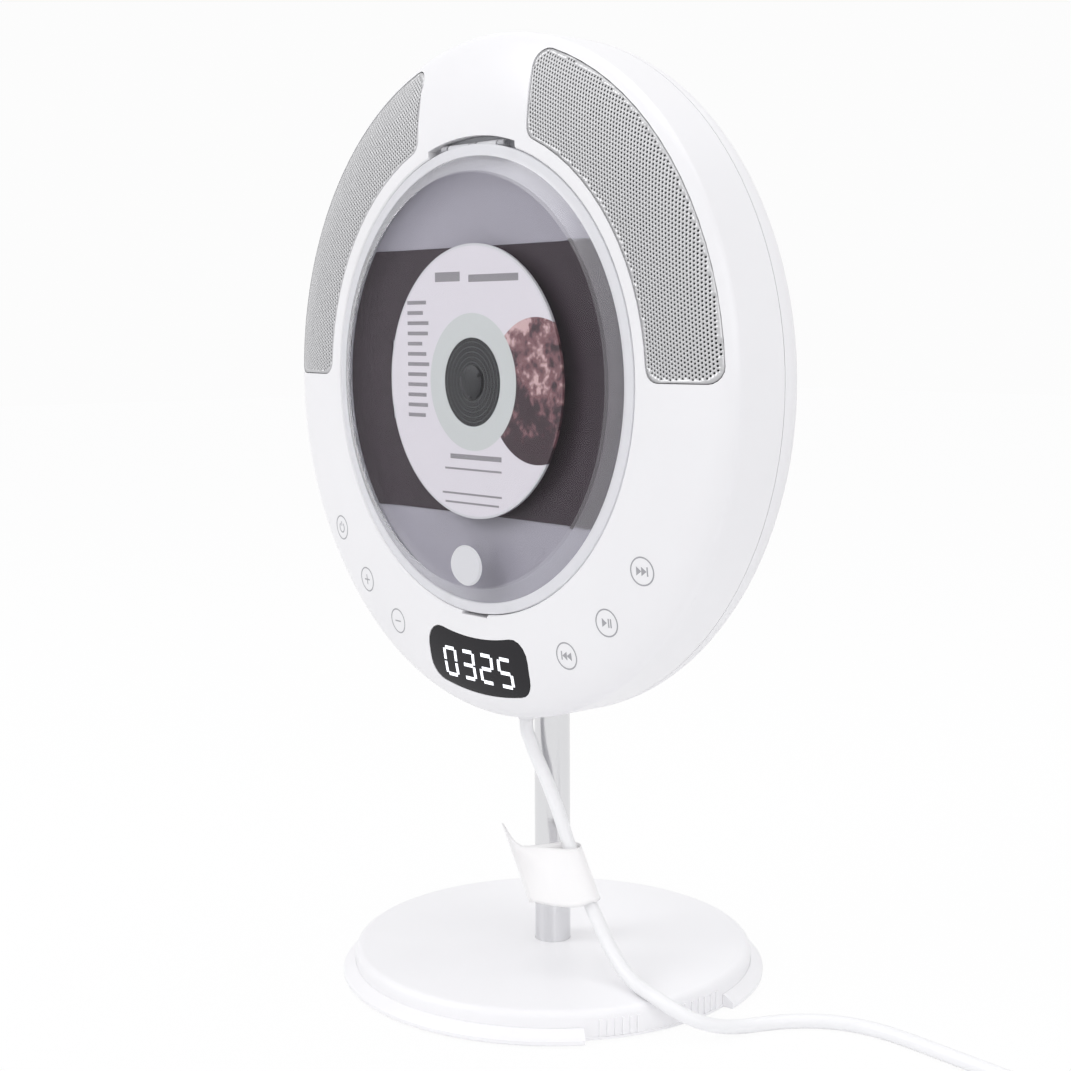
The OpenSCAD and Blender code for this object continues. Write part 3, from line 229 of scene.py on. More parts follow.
def grid_faces(rows: int, columns: int, close_columns: bool) -> Array:
    """Quads of a grid of points numbered row by row.

    Args:
        rows: Number of rows.
        columns: Points in a row.
        close_columns: Whether the last column joins the first.

    Returns:
        An array of faces of four indices.
    """
    widths = columns if close_columns else columns - 1
    i, j = np.meshgrid(np.arange(rows - 1), np.arange(widths), indexing="ij")
    k = (j + 1) % columns
    corners = [i * columns + j, (i + 1) * columns + j, (i + 1) * columns + k, i * columns + k]
    return np.stack(corners, -1).reshape(-1, 4)


def tube_faces(rings: int, sides: int) -> list[list[int]]:
    """Faces of a closed tube: the quads between its rings, then one flat face on each of its ends.

    Args:
        rings: Number of rings.
        sides: Points on each ring.

    Returns:
        Faces as lists of indices.
    """
    last = rings * sides
    ends = [list(range(sides)), list(range(last - 1, last - sides - 1, -1))]
    return grid_faces(rings, sides, True).tolist() + ends


def points_inside(points: Array, outline: Array) -> Array:
    """Which points lie inside an outline, by counting the edges that a ray to the right crosses.

    Args:
        points: The points.
        outline: The outline's corners.

    Returns:
        A mask.
    """
    a, b = outline[None, :, :], np.roll(outline, -1, axis=0)[None, :, :]
    x, y = points[:, None, 0], points[:, None, 1]
    spans = (a[..., 1] > y) != (b[..., 1] > y)
    level = 1e-12
    rise = b[..., 1] - a[..., 1]
    rise = np.where(np.abs(rise) < level, level, rise)
    cross = a[..., 0] + (y - a[..., 1]) * (b[..., 0] - a[..., 0]) / rise
    return (np.sum(spans & (x < cross), axis=1) % 2) == 1


# Meshes


def add_object(name: str, data: bpy.types.ID) -> Piece:
    """Makes an object of a mesh, a lamp or a camera, and links it to the scene.

    Args:
        name: The object's name.
        data: What it shows.

    Returns:
        The new object.
    """
    made = bpy.data.objects.new(name, data)
    bpy.context.scene.collection.objects.link(made)
    return made


def make_piece(name: str, points: Array, faces: Sequence[Sequence[int]], body: str,
               smooth: float = 35.0, closed: bool = True) -> Piece:
    """Makes a mesh piece with its object at the origin, riding on a body.

    Args:
        name: The piece's name.
        points: Points in metres, in the parts' frame.
        faces: Faces as lists of indices.
        body: The CAD body that the piece rides on, or nothing, in which case the piece is left unattached.
        smooth: Faces that meet at less than this angle in degrees are shaded as one surface.
        closed: Whether the faces close a solid, and are then turned outwards.

    Returns:
        The new object.
    """
    mesh = bpy.data.meshes.new(name)
    mesh.from_pydata(np.asarray(points).reshape(-1, 3).tolist(), [], [list(map(int, face)) for face in faces])
    mesh.validate()
    if closed:
        work = bmesh.new()
        work.from_mesh(mesh)
        bmesh.ops.recalc_face_normals(work, faces=work.faces)
        work.to_mesh(mesh)
        work.free()
    mesh.shade_smooth()
    mesh.set_sharp_from_angle(angle=math.radians(smooth))
    piece = add_object(name, mesh)
    if body:
        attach(piece, body)
    return piece


def sweep(name: str, grid: Array, body: str) -> Piece:
    """Makes a closed tube from a grid of rings, with a flat face at each end.

    Args:
        name: The piece's name.
        grid: Rings by points by three, in metres.
        body: The body that it rides on.

    Returns:
        The new object.
    """
    return make_piece(name, grid, tube_faces(*grid.shape[:2]), body)


def thicken(piece: Piece, wall: float, offset: float) -> None:
    """Gives a sheet its thickness.

    Args:
        piece: The sheet.
        wall: Its thickness in millimetres.
        offset: Where the thickness lies: -1 behind the sheet's faces, 0 to both sides of them.
    """
    modifier = piece.modifiers.new("Solidify", "SOLIDIFY")
    modifier.thickness = wall * MM
    modifier.offset = offset


def read_values(items: bpy.types.bpy_prop_collection, name: str, width: int, kind: type = float) -> Array:
    """Reads a property of every item of a mesh's collection.

    Args:
        items: The collection.
        name: The property's name.
        width: Numbers to an item.
        kind: Type of the numbers.

    Returns:
        An array of items by width.
    """
    values = np.empty(len(items) * width, kind)
    items.foreach_get(name, values)
    return values.reshape(-1, width)


def set_true_normals(mesh: bpy.types.Mesh, law: NormalLaw) -> None:
    """Sets each corner's normal to the form's own where the face lies on that form, and keeps the others.

    Args:
        mesh: A mesh of triangles.
        law: Gives, for points in metres and the faces' normals there, the form's normals and a mask.
    """
    points = read_values(mesh.vertices, "co", 3)
    corners = read_values(mesh.loops, "vertex_index", 1, np.int64).ravel()
    shaded = read_values(mesh.corner_normals, "vector", 3)
    faces = np.repeat(read_values(mesh.polygons, "normal", 3), 3, axis=0)
    true, mask = law(points[corners], faces)
    mesh.normals_split_custom_set(np.where(mask[:, None], true, shaded).tolist())


def smoothed_copy(node: str, body: str, law: NormalLaw | None = None) -> Piece:
    """Copies a CAD node, merges its doubled points and shades its round faces as smooth ones.

    Args:
        node: The CAD node.
        body: The body that it rides on.
        law: Gives the true normals and where they count, for a form with a known formula.

    Returns:
        The copy, which stands for the node.
    """
    source = bpy.data.objects[node].data
    points = read_values(source.vertices, "co", 3)
    corners = read_values(source.loops, "vertex_index", 1, np.int64).ravel()
    cells = np.round(points * MERGE_GRID).astype(np.int64)
    _, first, merged = np.unique(cells, axis=0, return_index=True, return_inverse=True)
    triangles = merged.ravel()[corners].reshape(-1, 3)
    a, b, c = triangles.T
    whole = (a != b) & (b != c) & (a != c)
    piece = make_piece(f"{node}_skin", points[first], triangles[whole], body, SKIN_ANGLE)
    if law is not None:
        set_true_normals(piece.data, law)
    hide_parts(node)
    return piece


# Shader building blocks


def feed(tree: Tree, value: Socket | float | Sequence[float], into: Socket) -> None:
    """Links an output to an input, or sets the input to a plain value.

    Args:
        tree: The node tree.
        value: The output or the value.
        into: The input.
    """
    if isinstance(value, Socket):
        tree.links.new(value, into)
    else:
        into.default_value = value


def math_node(tree: Tree, kind: str, *terms: Socket | float) -> Socket:
    """Adds a Math node.

    Args:
        tree: The node tree.
        kind: The operation.
        terms: Outputs or numbers, in the order of the node's inputs.

    Returns:
        The result's output.
    """
    made = tree.nodes.new("ShaderNodeMath")
    made.operation = kind
    for term, into in zip(terms, made.inputs):
        feed(tree, term, into)
    return made.outputs[0]


def length_node(tree: Tree, x: Socket, y: Socket) -> Socket:
    """Adds nodes for a length in a plane: sqrt(x^2 + y^2).

    Args:
        tree: The node tree.
        x: The first coordinate's output.
        y: The second coordinate's output.

    Returns:
        The length's output.
    """
    join, length = tree.nodes.new("ShaderNodeCombineXYZ"), tree.nodes.new("ShaderNodeVectorMath")
    length.operation = "LENGTH"
    tree.links.new(x, join.inputs["X"])
    tree.links.new(y, join.inputs["Y"])
    tree.links.new(join.outputs["Vector"], length.inputs[0])
    return length.outputs["Value"]


def mix_shaders(tree: Tree, share: Socket, low: bpy.types.Node, high: bpy.types.Node) -> Socket:
    """Mixes two shaders.

    Args:
        tree: The node tree.
        share: The output that gives the share of the second one.
        low: The first shader's node.
        high: The second shader's node.

    Returns:
        The mixed shader's output.
    """
    mixed = tree.nodes.new("ShaderNodeMixShader")
    for out, into in zip((share, low.outputs[0], high.outputs[0]), mixed.inputs):
        tree.links.new(out, into)
    return mixed.outputs[0]


class Shade:
    """A material in the making: its node tree, its Principled shader and short ways to add nodes."""

    def __init__(self, name: str) -> None:
        """Starts a material with one Principled shader.

        Args:
            name: The material's name.
        """
        self.material = bpy.data.materials.new(name)
        self.material.use_nodes = True
        self.tree = self.material.node_tree
        self.shader = self.tree.nodes["Principled BSDF"]

    def node(self, kind: str, **values: object) -> bpy.types.Node:
        """Adds a node.

        Args:
            kind: The node's type.
            values: Its properties.

        Returns:
            The node.
        """
        made = self.tree.nodes.new(kind)
        for key, value in values.items():
            setattr(made, key, value)
        return made

    def join(self, out: Socket, into: Socket) -> None:
        """Links an output to an input."""
        self.tree.links.new(out, into)

    def drive(self, label: str, out: Socket) -> None:
        """Links an output to the shader's input of that name."""
        self.join(out, self.shader.inputs[label])

    def show(self, out: Socket) -> None:
        """Makes a shader's output the one that the surface shows."""
        self.join(out, self.tree.nodes["Material Output"].inputs["Surface"])

    def set(self, **values: object) -> None:
        """Sets plain values on the shader's own sockets, with spaces in names written as underscores."""
        for key, value in values.items():
            self.shader.inputs[key.replace("_", " ")].default_value = value

    def math(self, kind: str, *terms: Socket | float) -> Socket:
        """Adds a Math node of outputs and numbers, and gives its output."""
        return math_node(self.tree, kind, *terms)

    def group(self, tree: Tree, **values: object) -> bpy.types.Node:
        """Adds a node group on Object coordinates.

        Args:
            tree: The group's tree.
            values: Its inputs' values by name.

        Returns:
            The group's node.
        """
        made = self.node("ShaderNodeGroup", node_tree=tree)
        for key, value in values.items():
            made.inputs[key].default_value = value
        place = self.node("ShaderNodeTexCoord")
        self.join(place.outputs["Object"], made.inputs["Vector"])
        return made

    def bump(self, height: Socket, strength: float, distance: float) -> None:
        """Feeds a height into the shader's normal.

        Args:
            height: The height's output.
            strength: Share of the bump that shows.
            distance: Depth of the bump in metres.
        """
        made = self.node("ShaderNodeBump")
        made.inputs["Strength"].default_value = strength
        made.inputs["Distance"].default_value = distance
        self.join(height, made.inputs["Height"])
        self.drive("Normal", made.outputs["Normal"])

    def mix(self, mask: Socket, low: Colour | Socket, high: Colour | Socket) -> Socket:
        """Mixes two colours by a mask.

        Args:
            mask: The mask's output.
            low: Colour or output at 0.
            high: Colour or output at 1.

        Returns:
            The mixed colour's output.
        """
        made = self.node("ShaderNodeMix", data_type="RGBA")
        self.join(mask, made.inputs["Factor"])
        for name, value in (("A", low), ("B", high)):
            into = next(socket for socket in made.inputs if socket.name == name and socket.type == "RGBA")
            feed(self.tree, value if isinstance(value, Socket) else (*value, 1.0), into)
        return next(socket for socket in made.outputs if socket.type == "RGBA")

    def number(self, value: Socket, low: float, high: float, to_low: float, to_high: float) -> Socket:
        """Maps a value from one range to another, clamped and eased at both ends.

        Args:
            value: The value's output.
            low: Start of its range.
            high: End of its range.
            to_low: Value at the start.
            to_high: Value at the end.

        Returns:
            The mapped value's output.
        """
        made = self.node("ShaderNodeMapRange", interpolation_type="SMOOTHSTEP")
        for key, number in zip(("From Min", "From Max", "To Min", "To Max"), (low, high, to_low, to_high)):
            made.inputs[key].default_value = number
        self.join(value, made.inputs["Value"])
        return made.outputs["Result"]


def new_group(name: str, inputs: Sequence[tuple[str, str, object]],
              outputs: Sequence[str]) -> tuple[Tree, bpy.types.Node, bpy.types.Node]:
    """Starts a shader node group with named sockets.

    Args:
        name: The group's name.
        inputs: Name, kind and default of each input.
        outputs: Name of each output, which is a number.

    Returns:
        The group's tree, and the nodes that hold its inputs and its outputs.
    """
    tree = bpy.data.node_groups.new(name, "ShaderNodeTree")
    for label, kind, value in inputs:
        made = tree.interface.new_socket(label, in_out="INPUT", socket_type=f"NodeSocket{kind}")
        if value is not None:
            made.default_value = value
    for label in outputs:
        tree.interface.new_socket(label, in_out="OUTPUT", socket_type="NodeSocketFloat")
    return tree, tree.nodes.new("NodeGroupInput"), tree.nodes.new("NodeGroupOutput")


def grain_group() -> Tree:
    """Fine grain of a moulded or painted surface, with a slow drift of tone.

    Returns:
        A group that gives a height and a tone from 0 to 1.
    """
    inputs = [("Vector", "Vector", None), ("Grain", "Float", 900.0), ("Drift", "Float", 14.0)]
    tree, start, end = new_group("surface_grain", inputs, ["Height", "Tone"])
    for label, scale, detail in (("Height", "Grain", 3.0), ("Tone", "Drift", 2.0)):
        noise = tree.nodes.new("ShaderNodeTexNoise")
        noise.inputs["Detail"].default_value = detail
        tree.links.new(start.outputs["Vector"], noise.inputs["Vector"])
        tree.links.new(start.outputs[scale], noise.inputs["Scale"])
        tree.links.new(noise.outputs["Fac"], end.inputs[label])
    return tree


def axis_group() -> Tree:
    """Place about the disc's axis, in millimetres.

    Returns:
        A group that gives the radius, and x and y in front view.
    """
    tree, start, end = new_group("about_disc_axis", [("Vector", "Vector", None)], ["Radius", "X", "Y"])
    split = tree.nodes.new("ShaderNodeSeparateXYZ")
    tree.links.new(start.outputs["Vector"], split.inputs[0])
    x = math_node(tree, "MULTIPLY_ADD", split.outputs["X"], 1 / MM, 0.0)
    y = math_node(tree, "MULTIPLY_ADD", split.outputs["Z"], 1 / MM, -HEAD_HEIGHT)
    for label, out in (("Radius", length_node(tree, x, y)), ("X", x), ("Y", y)):
        tree.links.new(out, end.inputs[label])
    return tree


# Finishes


class Look:
    """A finish that can be made a material. Each kind of finish paints it in its own way."""

    def build(self, name: str, groups: dict[str, Tree]) -> bpy.types.Material:
        """Builds the material.

        Args:
            name: The material's name.
            groups: The shared node groups.

        Returns:
            The material.
        """
        shade = Shade(name)
        self.paint(shade, groups)
        return shade.material

    def paint(self, shade: Shade, groups: dict[str, Tree]) -> None:
        """Adds the finish's nodes and values.

        Args:
            shade: The material in the making.
            groups: The shared node groups.
        """
        raise NotImplementedError


@dataclass(frozen=True)
class Finish(Look):
    """A moulded or painted surface: colour with a slow drift, roughness and a fine grain."""

    colour: Colour
    roughness: float = 0.4
    metallic: float = 0.0
    drift: float = 0.03
    grain: float = 900.0
    depth: float = 0.000002
    coat: float = 0.0
    specular: float = 0.5
    uneven: float = 0.08
    grain_range: tuple[float, float] = (0.2, 0.8)
    bump_strength: float = 0.2
    coat_roughness: float = 0.08

    def paint(self, shade: Shade, groups: dict[str, Tree]) -> None:
        """Lets the tone drift about the colour, and the grain change the roughness and the normal.

        Args:
            shade: The material in the making.
            groups: The shared node groups.
        """
        grain = shade.group(groups["grain"], Grain=self.grain)
        dark = tuple(c * (1 - self.drift) for c in self.colour)
        light = tuple(min(1.0, c * (1 + self.drift)) for c in self.colour)
        shade.drive("Base Color", shade.mix(grain.outputs["Tone"], dark, light))
        smoother, rougher = self.roughness * (1 - self.uneven), self.roughness * (1 + self.uneven)
        shade.drive("Roughness", shade.number(grain.outputs["Height"], *self.grain_range, smoother, rougher))
        shade.bump(grain.outputs["Height"], self.bump_strength, self.depth)
        shade.set(Metallic=self.metallic, Coat_Weight=self.coat, Coat_Roughness=self.coat_roughness,
                  Specular_IOR_Level=self.specular)


@dataclass(frozen=True)
class ClearPlastic(Look):
    """Clear or frosted moulded plastic, through which lamps light what is behind."""

    tint: Colour = (0.97, 0.97, 0.99)
    roughness: float = 0.03
    transmission: float = 1.0
    shadow: float = 0.93
    ior: float = 1.49
    drift: float = 0.015
    drift_scale: float = 9.0

    def paint(self, shade: Shade, groups: dict[str, Tree]) -> None:
        """Makes the plastic, whose shadow is a pale tint, so that what is behind it stays lit.

        Args:
            shade: The material in the making.
            groups: The shared node groups.
        """
        grain = shade.group(groups["grain"], Drift=self.drift_scale)
        pale = tuple(min(1.0, c * (1 + self.drift)) for c in self.tint)
        shade.drive("Base Color", shade.mix(grain.outputs["Tone"], self.tint, pale))
        shade.set(Transmission_Weight=self.transmission, IOR=self.ior, Roughness=self.roughness)
        path = shade.node("ShaderNodeLightPath")
        through = shade.node("ShaderNodeBsdfTransparent")
        through.inputs["Color"].default_value = (self.shadow, self.shadow, self.shadow, 1.0)
        shade.show(mix_shaders(shade.tree, path.outputs["Is Shadow Ray"], shade.shader, through))


@dataclass(frozen=True)
class LitSegments(Look):
    """White glowing bars behind the display's lens."""

    colour: Colour = (0.92, 0.94, 1.0)
    dimmest: float = 0.94
    strength: float = 0.9
    roughness: float = 0.3
    grain: float = 500.0

    def paint(self, shade: Shade, groups: dict[str, Tree]) -> None:
        """Lets the glow drift a little below its full colour.

        Args:
            shade: The material in the making.
            groups: The shared node groups.
        """
        grain = shade.group(groups["grain"], Grain=self.grain)
        glow = shade.mix(grain.outputs["Tone"], tuple(self.dimmest * c for c in self.colour), self.colour)
        shade.drive("Base Color", glow)
        shade.drive("Emission Color", glow)
        shade.set(Emission_Strength=self.strength, Roughness=self.roughness)


@dataclass(frozen=True)
class PrintBar:
    """A level grey bar on the disc, or a column of such bars.

    Its middle is at the height top, and it runs from start to stop. With a pitch it is the first of count
    bars, each a pitch lower than the last, and each ends up to uneven millimetres past stop.
    """

    start: float
    stop: float
    top: float
    height: float
    pitch: float = 0.0
    count: int = 12
    uneven: float = 5.5

    def mask(self, shade: Shade, axis: bpy.types.Node) -> Socket:
        """Adds nodes for the bar: 1 between its ends and within half its height of its middle.

        Args:
            shade: The material in the making.
            axis: The node that gives the place about the disc's axis.

        Returns:
            The mask's output.
        """
        x, y = axis.outputs["X"], axis.outputs["Y"]
        down = shade.math("SUBTRACT", self.top, y)
        end: Socket | float = self.stop
        if self.pitch:
            nearest = shade.math("ROUND", shade.math("DIVIDE", down, self.pitch))
            index = shade.math("MINIMUM", shade.math("MAXIMUM", nearest, 0.0), self.count - 1.0)
            down = shade.math("SUBTRACT", down, shade.math("MULTIPLY", index, self.pitch))
            chance = shade.node("ShaderNodeTexWhiteNoise", noise_dimensions="1D")
            shade.join(index, chance.inputs["W"])
            end = shade.math("MULTIPLY_ADD", chance.outputs["Value"], self.uneven, self.stop)
        in_height = shade.math("LESS_THAN", shade.math("ABSOLUTE", down), self.height / 2)
        after_start, before_end = shade.math("GREATER_THAN", x, self.start), shade.math("LESS_THAN", x, end)
        return shade.math("MULTIPLY", in_height, shade.math("MULTIPLY", after_start, before_end))


@dataclass(frozen=True)
class DiscPrint(Look):
    """Printed face of the disc: white, a grey inner ring, a cloudy dusky patch and plain grey bars.

    An edge is the pair of radii between which the print changes.
    """

    white: Colour = (0.585, 0.56, 0.595)
    ring: Colour = (0.475, 0.495, 0.49)
    bar: Colour = (0.22, 0.21, 0.225)
    rim: Colour = (0.5, 0.5, 0.52)
    hub: Colour = (0.012, 0.012, 0.014)
    groove: Colour = (0.085, 0.09, 0.09)
    patch_low: Colour = (0.03, 0.014, 0.02)
    patch_middle: Colour = (0.16, 0.075, 0.085)
    patch_high: Colour = (0.5, 0.34, 0.34)
    bars: tuple[PrintBar, ...] = (
        PrintBar(-47.0, -36.0, 35.0, 1.7, 4.6), PrintBar(-16.0, 20.0, -33.0, 2.2),
        PrintBar(-20.0, 20.0, -38.5, 0.9), PrintBar(-22.0, 20.0, -49.5, 0.9),
        PrintBar(-20.0, 18.0, -53.5, 0.9), PrintBar(-26.0, -8.0, 46.0, 4.2), PrintBar(-2.0, 32.0, 45.0, 3.2))
    rim_edge: tuple[float, float] = (58.9, 59.1)
    ring_edge: tuple[float, float] = (29.9, 30.3)
    hub_edge: tuple[float, float] = (19.3, 19.6)
    groove_edge: tuple[float, float] = (18.4, 18.6)
    groove_pitch: float = 1.1
    groove_width: float = 0.16
    patch_at: tuple[float, float] = (43.0, -3.0)
    patch_edge: tuple[float, float] = (30.85, 31.15)
    grain: float = 330.0
    drift: float = 95.0
    grain_share: float = 0.7
    # The clouds' tone is raised by the last two numbers at the heights of the first two.
    lift: tuple[float, float, float, float] = (-30, 26, -0.17, 0.13)
    middle_clouds: tuple[float, float] = (0.7, 0.92)
    high_clouds: tuple[float, float] = (0.93, 1.12)
    hub_roughness: float = 0.2
    print_roughness: float = 0.34
    specular: float = 0.35

    def clouds(self, shade: Shade, height: Socket, groups: dict[str, Tree]) -> Socket:
        """Adds nodes for the patch's colour: two scales of noise, lighter towards the top, in three tones.

        Args:
            shade: The material in the making.
            height: The output of y on the disc.
            groups: The shared node groups.

        Returns:
            The colour's output.
        """
        grain = shade.group(groups["grain"], Grain=self.grain, Drift=self.drift)
        noise = shade.math("MULTIPLY_ADD", grain.outputs["Height"], self.grain_share, grain.outputs["Tone"])
        tone = shade.math("ADD", noise, shade.number(height, *self.lift))
        colour = shade.mix(shade.number(tone, *self.middle_clouds, 0, 1), self.patch_low, self.patch_middle)
        return shade.mix(shade.number(tone, *self.high_clouds, 0, 1), colour, self.patch_high)

    def paint(self, shade: Shade, groups: dict[str, Tree]) -> None:
        """Lays the prints over each other by the distance to the disc's axis and to the patch's centre.

        Args:
            shade: The material in the making.
            groups: The shared node groups.
        """
        axis = shade.group(groups["axis"])
        radius = axis.outputs["Radius"]
        clouds = self.clouds(shade, axis.outputs["Y"], groups)
        across = shade.math("SUBTRACT", axis.outputs["X"], self.patch_at[0])
        up = shade.math("SUBTRACT", axis.outputs["Y"], self.patch_at[1])
        in_patch = shade.number(length_node(shade.tree, across, up), *self.patch_edge, 1, 0)
        colour = self.white
        for bar in self.bars:
            colour = shade.mix(bar.mask(shade, axis), colour, self.bar)
        colour = shade.mix(shade.number(radius, *self.rim_edge, 0, 1), colour, self.rim)
        colour = shade.mix(in_patch, colour, clouds)
        colour = shade.mix(shade.number(radius, *self.ring_edge, 1, 0), colour, self.ring)
        colour = shade.mix(shade.number(radius, *self.hub_edge, 1, 0), colour, self.hub)
        wave = shade.math("PINGPONG", radius, self.groove_pitch)
        fine = shade.number(wave, 0.0, self.groove_width, 1, 0)
        grooves = shade.math("MULTIPLY", fine, shade.number(radius, *self.groove_edge, 1, 0))
        shade.drive("Base Color", shade.mix(grooves, colour, self.groove))
        roughness = shade.number(radius, *self.hub_edge, self.hub_roughness, self.print_roughness)
        shade.drive("Roughness", roughness)
        shade.set(Specular_IOR_Level=self.specular)


FINISHES: dict[str, Look] = {
    "white_gloss": Finish((0.84, 0.835, 0.85), 0.32, coat=0.1),
    "white_satin": Finish((0.84, 0.835, 0.85), 0.4),
    "grille_metal": Finish((0.53, 0.53, 0.54), 0.38, metallic=0.6, drift=0.04),
    "dark_plastic": Finish((0.02, 0.02, 0.022), 0.5, specular=0.3),
    "well_plastic": Finish((0.275, 0.265, 0.305), 0.3, drift=0.05),
    "card_print": Finish((0.032, 0.022, 0.029), 0.4, drift=0.2, specular=0.2),
    "clear_plastic": ClearPlastic(ior=1.14),
    "cover_bevel": ClearPlastic((0.9, 0.9, 0.94), 0.22, 0.93, 0.8, 1.4),
    "frosted_plastic": ClearPlastic((0.84, 0.84, 0.87), 0.45, 0.3, 0.6),
    "steel": Finish((0.62, 0.62, 0.63), 0.22, metallic=1.0),
    "zinc_steel": Finish((0.66, 0.66, 0.63), 0.34, metallic=1.0),
    "magnet_black": Finish((0.1, 0.1, 0.105), 0.5, metallic=0.4),
    "charcoal_gloss": Finish((0.012, 0.011, 0.014), 0.16, specular=0.2),
    "segment_white": LitSegments(),
    "board_green": Finish((0.02, 0.13, 0.05), 0.35, drift=0.12),
    "disc_print": DiscPrint(),
    "gear_ivory": Finish((0.72, 0.68, 0.56), 0.4),
    "brass": Finish((0.68, 0.5, 0.22), 0.3, metallic=1.0),
    "sled_grey": Finish((0.14, 0.13, 0.15), 0.45),
    "lens_blue": Finish((0.1, 0.16, 0.28), 0.1, coat=1.0),
    "rubber_black": Finish((0.03, 0.03, 0.03), 0.75, grain=500.0, depth=0.00005),
    "cone_paper": Finish((0.045, 0.045, 0.05), 0.8, grain=700.0, depth=0.00006),
    "pole_metal": Finish((0.73, 0.73, 0.745), 0.2, metallic=1.0),
    "cord_white": Finish((0.9, 0.9, 0.91), 0.38),
    "base_white": Finish((0.93, 0.925, 0.94), 0.4),
    "hinge_grey": Finish((0.42, 0.42, 0.44), 0.5),
    "tag_paper": Finish((0.96, 0.95, 0.95), 0.45, grain=350.0, depth=0.00005),
    "key_print": Finish((0.36, 0.36, 0.38), 0.4),
}


class FinishShelf:
    """Builds each finish once and puts it on pieces."""

    def __init__(self) -> None:
        """Builds the shared node groups."""
        self.groups = {"grain": grain_group(), "axis": axis_group()}
        self.made: dict[str, bpy.types.Material] = {}

    def get(self, slot: str) -> bpy.types.Material:
        """Gives a slot's material, and builds it when it is first asked for.

        Args:
            slot: The finish's name.

        Returns:
            The material.
        """
        if slot not in self.made:
            self.made[slot] = FINISHES[slot].build(slot, self.groups)
        return self.made[slot]

    def dress(self, piece: Piece, *slots: str) -> Piece:
        """Puts the named finishes in a piece's material slots.

        Args:
            piece: The piece.
            slots: Finishes in the order of the piece's slots.

        Returns:
            The same piece.
        """
        piece.data.materials.clear()
        for slot in slots:
            piece.data.materials.append(self.get(slot))
        LOG.info("%s dressed with %s", piece.name, ", ".join(slots))
        return piece


# Sub-assemblies


@dataclass
class Housing:
    """The white ring and back, whose rounded faces get the true normals of their formula."""

    ring: RingForm = RingForm()
    side_depth: float = 37.0
    head_depth: float = 58.0
    back_radius: float = 116.0
    # A face lies on a form where its normal is within the widest angle of the form's, beyond the window.
    margin: float = 1e-3
    beyond_window: float = 0.5
    widest_angle: float = 12.0

    def true_normal(self, points: Array, faces: Array) -> tuple[Array, Array]:
        """Normals of the ring's ellipse, the side wall and the rear ellipse, each its equation's gradient.

        Args:
            points: Points in metres, in the parts' frame.
            faces: Normals of the faces that the points belong to.

        Returns:
            The normals, and where the face lies on one of these forms.
        """
        x, y = points[:, 0] / MM, points[:, 2] / MM - HEAD_HEIGHT
        f = -points[:, 1] / MM - HEAD_SETBACK
        radius = np.hypot(x, y)
        ring, tiny = self.ring, 1e-9
        a, b = ring.head_radius - ring.crest_radius, ring.shoulder
        rear_a, rear_b = ring.head_radius - self.back_radius, self.head_depth - self.side_depth
        front = f > ring.crest_front - b - self.margin
        back = f < -self.side_depth + self.margin
        rear_out = np.where(back, np.maximum(radius - self.back_radius, 0) / rear_a**2, 1.0)
        out = np.where(front, np.maximum(radius - ring.crest_radius, 0) / a**2, rear_out)
        rear_fore = np.where(back, (f + self.side_depth) / rear_b**2, 0.0)
        fore = np.where(front, (f - ring.crest_front + b) / b**2, rear_fore)
        size = np.hypot(out, fore) + tiny
        out, fore = out / size, fore / size
        true = np.stack([out * x / (radius + tiny), -fore, out * y / (radius + tiny)], -1)
        near = np.einsum("ij,ij->i", true, faces) > math.cos(math.radians(self.widest_angle))
        return true, near & (radius > ring.window_radius + self.beyond_window)

    def build(self, shelf: FinishShelf) -> None:
        """Makes the two housings.

        Args:
            shelf: The finishes.
        """
        for node, slot in (("front_housing", "white_gloss"), ("rear_housing", "white_satin")):
            shelf.dress(smoothed_copy(node, "root", self.true_normal), slot)


